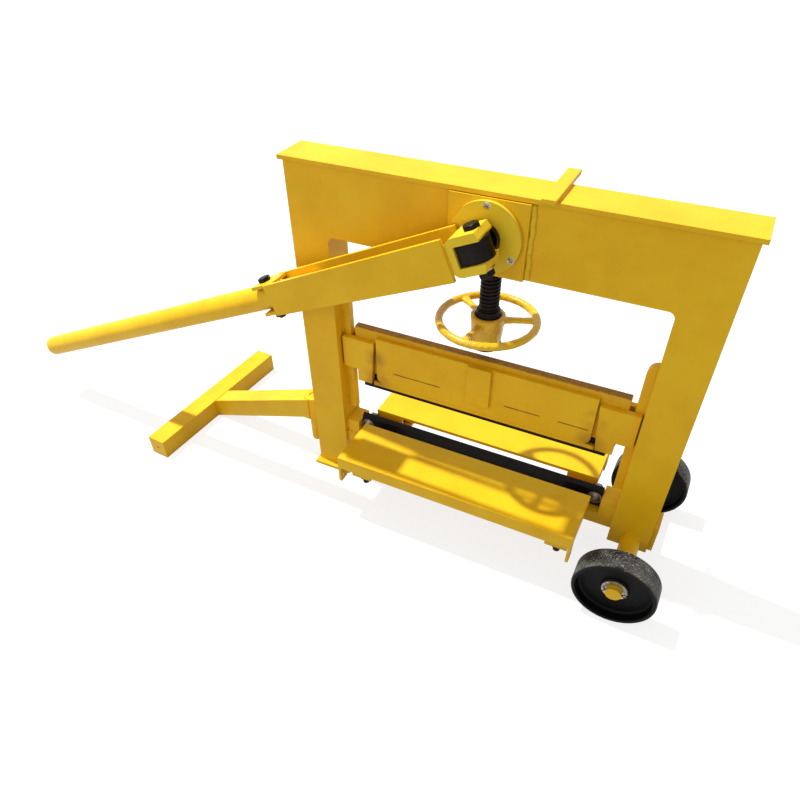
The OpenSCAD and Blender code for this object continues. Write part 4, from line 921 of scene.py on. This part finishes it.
# %% [markdown]
# The plates are joined by hand-laid weld beads. A bead is a low round ridge with overlapping
# scales. A bar swept along the seam does it, if its radius swells and sinks a little every few
# millimetres. Beads are painted with the frame.

# %% Weld bead helper
SCALE_MM = 3.4
BEAD_STEP = 0.9 * MM
END_FADE = 2.5 * MM
RING_STEPS = 120
# Lengths in millimetres over which the slow swell and the sway of a hand-laid bead turn by one radian.
SWELL_MM = (7.3, 17.9)
SWAY_MM = (4.7, 11.3)
HEAVY_BEAD = 2.0 * MM
MIDDLE_BEAD = 1.8 * MM
COVER_BEAD = 1.7 * MM
LIGHT_BEAD = 1.6 * MM
STRAP_BEAD = 1.3 * MM
STITCH_BEAD = 0.8 * MM
STRIP_BEAD = 5.0 * MM


def bead(a, b, radius, sway=(0, 0, 0)):
    """Bar from a to b whose radius ripples each weld scale and fades at the ends; it may sway."""
    a = np.array(a, float)
    b = np.array(b, float)
    length = np.linalg.norm(b - a)
    t = np.linspace(0, 1, max(int(length / BEAD_STEP), 8))
    run = t * length / MM
    swell = 0.5 * np.sin(run / SWELL_MM[0]) * np.sin(run / SWELL_MM[1] + 1)
    ripple = np.abs(np.sin(np.pi * run / SCALE_MM)) + swell
    fade = np.clip(np.minimum(t, 1 - t) * length / END_FADE, 0.1, 1) ** 0.5
    drift = np.sin(run / SWAY_MM[0]) * np.cos(run / SWAY_MM[1] + 0.6)
    path = a + (b - a) * t[:, None] + drift[:, None] * np.array(sway)
    return shell(swept(path, radius * fade * (0.85 + 0.18 * ripple), 8))


def ring_bead(x, y, z, ring_r, radius):
    """Closed bead round a bar along Y: a circle whose bar swells and sinks 32 times on the way round."""
    a = np.linspace(0, 2 * np.pi, RING_STEPS, endpoint=False)
    path = np.stack([x + ring_r * np.cos(a), np.full(RING_STEPS, y), z + ring_r * np.sin(a)], -1)
    return shell(swept(path, radius * (0.9 + 0.12 * np.sin(32 * a)), 8, ring=True), ring=True)


def mirrored(seams):
    """Each seam (a, b, radius) on the left and the right."""
    flip = np.array([-1, 1, 1])
    return [bead(np.array(a) * s, np.array(b) * s, r) for a, b, r in seams for s in (1, flip)]


print("a bead of 100 mm has", len(bead((0, 0, 0), (0.1, 0, 0), HEAVY_BEAD)[0]), "points")

# %% Seams outside the portal
PLATE_SEAM_SHORT = 30 * MM
COVER_SEAM_L = 70 * MM
COVER_SEAM_STARTS = np.arange(-300, 240, 130) * MM
WEB_HALF = 5 * MM
WEB_INSET = 5 * MM
front_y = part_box("portal_front_plate")[0].y
rear_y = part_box("portal_rear_plate")[1].y
outer_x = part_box("portal_front_plate")[1].x
plate_low, plate_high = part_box("bearing_plate_front")
rail_low, rail_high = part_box("guide_rails")
wall_x = rail_high.x
cover_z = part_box("portal_cover")[0].z
sole_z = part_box("sole_plate")[1].z
bar_low, bar_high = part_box("top_cross_bar")
web_low, web_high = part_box("hinge_barrel")
seams = []
for y in (front_y, rear_y):
    corner = (plate_low.x, y, plate_high.z)
    seams += [((plate_low.x, y, plate_low.z), corner, HEAVY_BEAD),
              (corner, (plate_high.x - PLATE_SEAM_SHORT, y, plate_high.z), MIDDLE_BEAD)]
    seams += [((x, y, cover_z), (x + COVER_SEAM_L, y, cover_z), COVER_BEAD) for x in COVER_SEAM_STARTS]
    seams += [((-outer_x, y, sole_z), (-wall_x, y, sole_z), HEAVY_BEAD)]
seams += [((x, front_y, bar_low.z), (x, rear_y, bar_low.z), MIDDLE_BEAD) for x in (bar_low.x, bar_high.x)]
seams += [((-outer_x, y, web_low.z + WEB_INSET), (-outer_x, y, web_high.z - WEB_INSET), HEAVY_BEAD)
          for y in (-WEB_HALF, WEB_HALF)]
print("seams outside the portal:", len(seams))

# %% Seams between the legs
RAIL_INSET = 4 * MM
SEAT_SEAM_L = 26 * MM
base_low, base_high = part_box("base_bar")
seat_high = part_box("blade_seat")[1]
pairs = []
for s in (-1, 1):
    rail_y = s * rail_high.y
    rail_foot = (wall_x, rail_y, rail_low.z + RAIL_INSET)
    rail_head = (wall_x, rail_y, rail_high.z - RAIL_INSET)
    base_y = s * base_high.y
    seat_y = s * seat_high.y
    pairs += [(rail_foot, rail_head, LIGHT_BEAD),
              ((wall_x, base_y, base_low.z), (wall_x, base_y, base_high.z), MIDDLE_BEAD),
              ((wall_x, seat_y, base_high.z), (wall_x, seat_y, seat_high.z), MIDDLE_BEAD),
              ((wall_x - SEAT_SEAM_L, seat_y, base_high.z), (wall_x, seat_y, base_high.z), LIGHT_BEAD)]
print("seams between the legs, on each side:", len(pairs))

# %% Beads on the frame
STRIP_OUT = 2 * MM
STRIP_SWAY = (1.2 * MM, 0, 0)
sleeve_low, sleeve_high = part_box("axle_sleeves")
sleeve_r = (sleeve_high.z - sleeve_low.z) / 2
frame_beads = [bead(*seam) for seam in seams] + mirrored(pairs)
frame_beads += [ring_bead(wheel_centre.x, y, wheel_centre.z, sleeve_r, HEAVY_BEAD) for y in (front_y, rear_y)]
piece("frame_weld_beads", frame_beads, YELLOW, "frame", ROUND_DEG)
strip_x = plate_high.x + STRIP_OUT
plate_beads = [bead((strip_x, y, plate_low.z), (strip_x, y, plate_high.z), STRIP_BEAD, STRIP_SWAY)
               for y in (front_y, rear_y)]
# The strip beside the bearing plate is drawn in the paler yellow: painted highlight.
piece("bearing_plate_welds", plate_beads, PALE_YELLOW, "frame", ROUND_DEG)
print("beads on the frame:", len(frame_beads) + len(plate_beads))

# %% Beads on the upper beam
# Start and end of each dark stitch along X, in metres from the middle of the beam.
STITCHES = ((-0.156, -0.068), (0.044, 0.105), (0.133, 0.183))
STITCH_Z = 29 * MM
STRAP_SEAM_LOW = 4 * MM
STRAP_SEAM_SHORT = 20 * MM
strap_low, strap_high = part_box("centre_straps")
stitch_z = panel_low.z + STITCH_Z
seam_low = strap_low.z + STRAP_SEAM_LOW
seam_high = strap_high.z - STRAP_SEAM_SHORT
stitch_beads = []
strap_beads = []
for y in (panel_low.y, panel_high.y):
    stitch_beads += [bead((x0, y, stitch_z), (x1, y, stitch_z), STITCH_BEAD) for x0, x1 in STITCHES]
    strap_beads += [bead((x, y, seam_low), (x, y, seam_high), STRAP_BEAD)
                    for x in (strap_low.x, strap_high.x)]
piece("beam_weld_stitches", stitch_beads, RUSTY_SEAM, "upper_beam", ROUND_DEG)
piece("beam_strap_beads", strap_beads, YELLOW, "upper_beam", ROUND_DEG)
print("stitches on the beam:", len(stitch_beads), "beads:", len(strap_beads))

# %% Beads on the lever
YOKE_INSET = 4 * MM
STRAP_SEAM_L = 13 * MM


def lever_bead(a, b, radius):
    """Bead between two points given in the lever's frame."""
    return bead(from_lever(np.array(a)), from_lever(np.array(b)), radius)


yoke_low, yoke_high = lever_box("lever_yoke")
arm_low, arm_high = lever_box("arm_front_plate")
band_low, band_high = lever_box("handle_straps")
yoke_x = arm_high[0]
yoke_foot = yoke_low[2] + YOKE_INSET
yoke_head = yoke_high[2] - YOKE_INSET
band_x = arm_low[0]
lever_beads = [lever_bead((yoke_x, y, yoke_foot), (yoke_x, y, yoke_head), HEAVY_BEAD)
               for y in (yoke_low[1], yoke_high[1])]
lever_beads += [lever_bead((band_x, y, z), (band_x + STRAP_SEAM_L, y, z), LIGHT_BEAD)
                for y in (band_low[1], band_high[1]) for z in (band_low[2], band_high[2])]
piece("lever_weld_beads", lever_beads, YELLOW, "lever", ROUND_DEG)
print("beads on the lever:", len(lever_beads))

# %% Beads on the T-foot
FOOT_SWING = math.radians(3)
FOOT_REACH = 260 * MM
FOOT_TUBE = 40 * MM
FOOT_SEAM_LOW = 2 * MM
pin_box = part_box("hinge_pin")
hinge_x = (pin_box[0].x + pin_box[1].x) / 2


def from_foot(x, y, z):
    """A point of the T-foot's frame, with its arm along -X: turned by the swing, then moved to the hinge."""
    c = math.cos(FOOT_SWING)
    s = math.sin(FOOT_SWING)
    return (hinge_x + x * c + y * s, -x * s + y * c, z)


half = FOOT_TUBE / 2
top_left = (-half, FOOT_TUBE)
top_right = (half, FOOT_TUBE)
foot_seams = [(top_left, top_right), ((-half, FOOT_SEAM_LOW), top_left), ((half, FOOT_SEAM_LOW), top_right)]
foot_beads = [bead(from_foot(-FOOT_REACH, *a), from_foot(-FOOT_REACH, *b), HEAVY_BEAD) for a, b in foot_seams]
piece("foot_weld_beads", foot_beads, YELLOW, "t_foot", ROUND_DEG)
print("beads on the foot:", len(foot_beads))

# %% [markdown]
# The light comes from high on the left and a little behind: bright tops, deeper fronts, and the
# shade of the lever, the hand wheel and the upper beam on the tables. A small key lamp does most of
# it, an even white sky fills the shade, and a weak, wide lamp at the front left lifts the fronts.
# The paper floor is a middle grey to the light that bounces from it, so that it doesn't fill in
# the fronts, and adds its white for the camera alone. It still shows the shadow.

# %% Paper floor
FLOOR_HALF = 8.0
PAPER = "#a3a3a1"
PAPER_GLOW = 0.77
WHITE = "#ffffff"


def seen_share(tree):
    """1 for rays from the camera, a mirror or glass, else 0."""
    rays = add(tree, "LightPath", {}).node.outputs
    seen = add(tree, "Math", {0: rays["Is Camera Ray"], 1: rays["Is Glossy Ray"]}, operation="MAXIMUM")
    return add(tree, "Math", {0: seen, 1: rays["Is Transmission Ray"]}, operation="MAXIMUM")


def studio_floor():
    """A large square at floor level."""
    mesh = bpy.data.meshes.new("floor")
    h = FLOOR_HALF
    mesh.from_pydata([(-h, -h, 0), (h, -h, 0), (h, h, 0), (-h, h, 0)], [], [(0, 1, 2, 3)])
    obj = bpy.data.objects.new("floor", mesh)
    bpy.context.scene.collection.objects.link(obj)
    made, tree, _ = new_material("studio_paper")
    paper = add(tree, "BsdfDiffuse", {"Color": linear(PAPER)})
    strength = add(tree, "Math", {0: seen_share(tree), 1: PAPER_GLOW}, operation="MULTIPLY")
    glow = add(tree, "Emission", {"Color": linear(WHITE), "Strength": strength})
    both = add(tree, "AddShader", {0: paper, 1: glow})
    add(tree, "OutputMaterial", {"Surface": both})
    dress(obj, made)


studio_floor()
print("floor of", 2 * FLOOR_HALF, "metres")

# %% Lamps and sky
KEY = {"place": (-3.05, 0.32, 6.0), "aim": (0, -0.05, 0.2), "size": 0.2, "power": 500}
FRONT = {"place": (-1.2, -2.6, 1.6), "aim": (0, 0, 0.3), "size": 1.2, "power": 11}
SKY = 0.46


def soft_lamp(name, place, aim, size, power):
    """Square area light at a place that looks at a point."""
    data = bpy.data.lights.new(name, "AREA")
    data.size = size
    data.energy = power
    obj = bpy.data.objects.new(name, data)
    obj.location = place
    look = np.array(aim) - np.array(place)
    flat = math.hypot(look[0], look[1])
    obj.rotation_euler = (math.atan2(flat, -look[2]), 0, math.atan2(-look[0], look[1]))
    bpy.context.scene.collection.objects.link(obj)


def white_sky():
    """An even white world that lights at the strength SKY and looks white to the camera."""
    world = bpy.data.worlds.new("studio")
    bpy.context.scene.world = world
    world.use_nodes = True
    tree = world.node_tree
    tree.nodes.clear()
    strength = add(tree, "MapRange", {"Value": seen_share(tree), "To Min": SKY, "To Max": 1.0})
    sky = add(tree, "Background", {"Color": linear(WHITE), "Strength": strength})
    add(tree, "OutputWorld", {"Surface": sky})


white_sky()
soft_lamp("key", **KEY)
soft_lamp("front", **FRONT)
bpy.context.scene.view_settings.view_transform = "Standard"

# %% [markdown]
# The camera stands where the photographer stood: in front, to the right and well above the
# portal, close enough for strong perspective. Its place and angles were solved from the portal's
# corners, and the lens follows from a picture 800 pixels wide.

# %% Camera
IMAGE_W = 800
FOCAL_PX = 659.9
CENTRE_PX = (398.2, 459.1)
CAMERA_AT = (0.2804, -0.8271, 0.9276)
YAW, PITCH, ROLL = 0.487, 0.757, -0.023


def photo_camera():
    """Camera from its place, yaw to the left, pitch down and roll, with the lens centre shifted."""
    ahead = np.array([-math.sin(YAW), math.cos(YAW), 0])
    right = np.array([math.cos(YAW), math.sin(YAW), 0])
    above = np.array([0, 0, 1.0])
    forward = math.cos(PITCH) * ahead - math.sin(PITCH) * above
    up = math.sin(PITCH) * ahead + math.cos(PITCH) * above
    level = math.cos(ROLL) * right + math.sin(ROLL) * up
    up = -math.sin(ROLL) * right + math.cos(ROLL) * up
    data = bpy.data.cameras.new("photo_camera")
    data.sensor_width = 36
    data.sensor_fit = "HORIZONTAL"
    data.lens = FOCAL_PX / IMAGE_W * data.sensor_width
    data.shift_x = (IMAGE_W / 2 - CENTRE_PX[0]) / IMAGE_W
    data.shift_y = (CENTRE_PX[1] - IMAGE_W / 2) / IMAGE_W
    data.clip_start = 0.02
    obj = bpy.data.objects.new("photo_camera", data)
    turn = np.stack([level, up, -forward], 1)
    matrix = [[*turn[i], CAMERA_AT[i]] for i in range(3)] + [[0, 0, 0, 1]]
    obj.matrix_world = [list(column) for column in zip(*matrix)]
    bpy.context.scene.collection.objects.link(obj)
    bpy.context.scene.camera = obj
    return data.lens


print("lens in millimetres:", round(photo_camera(), 2))
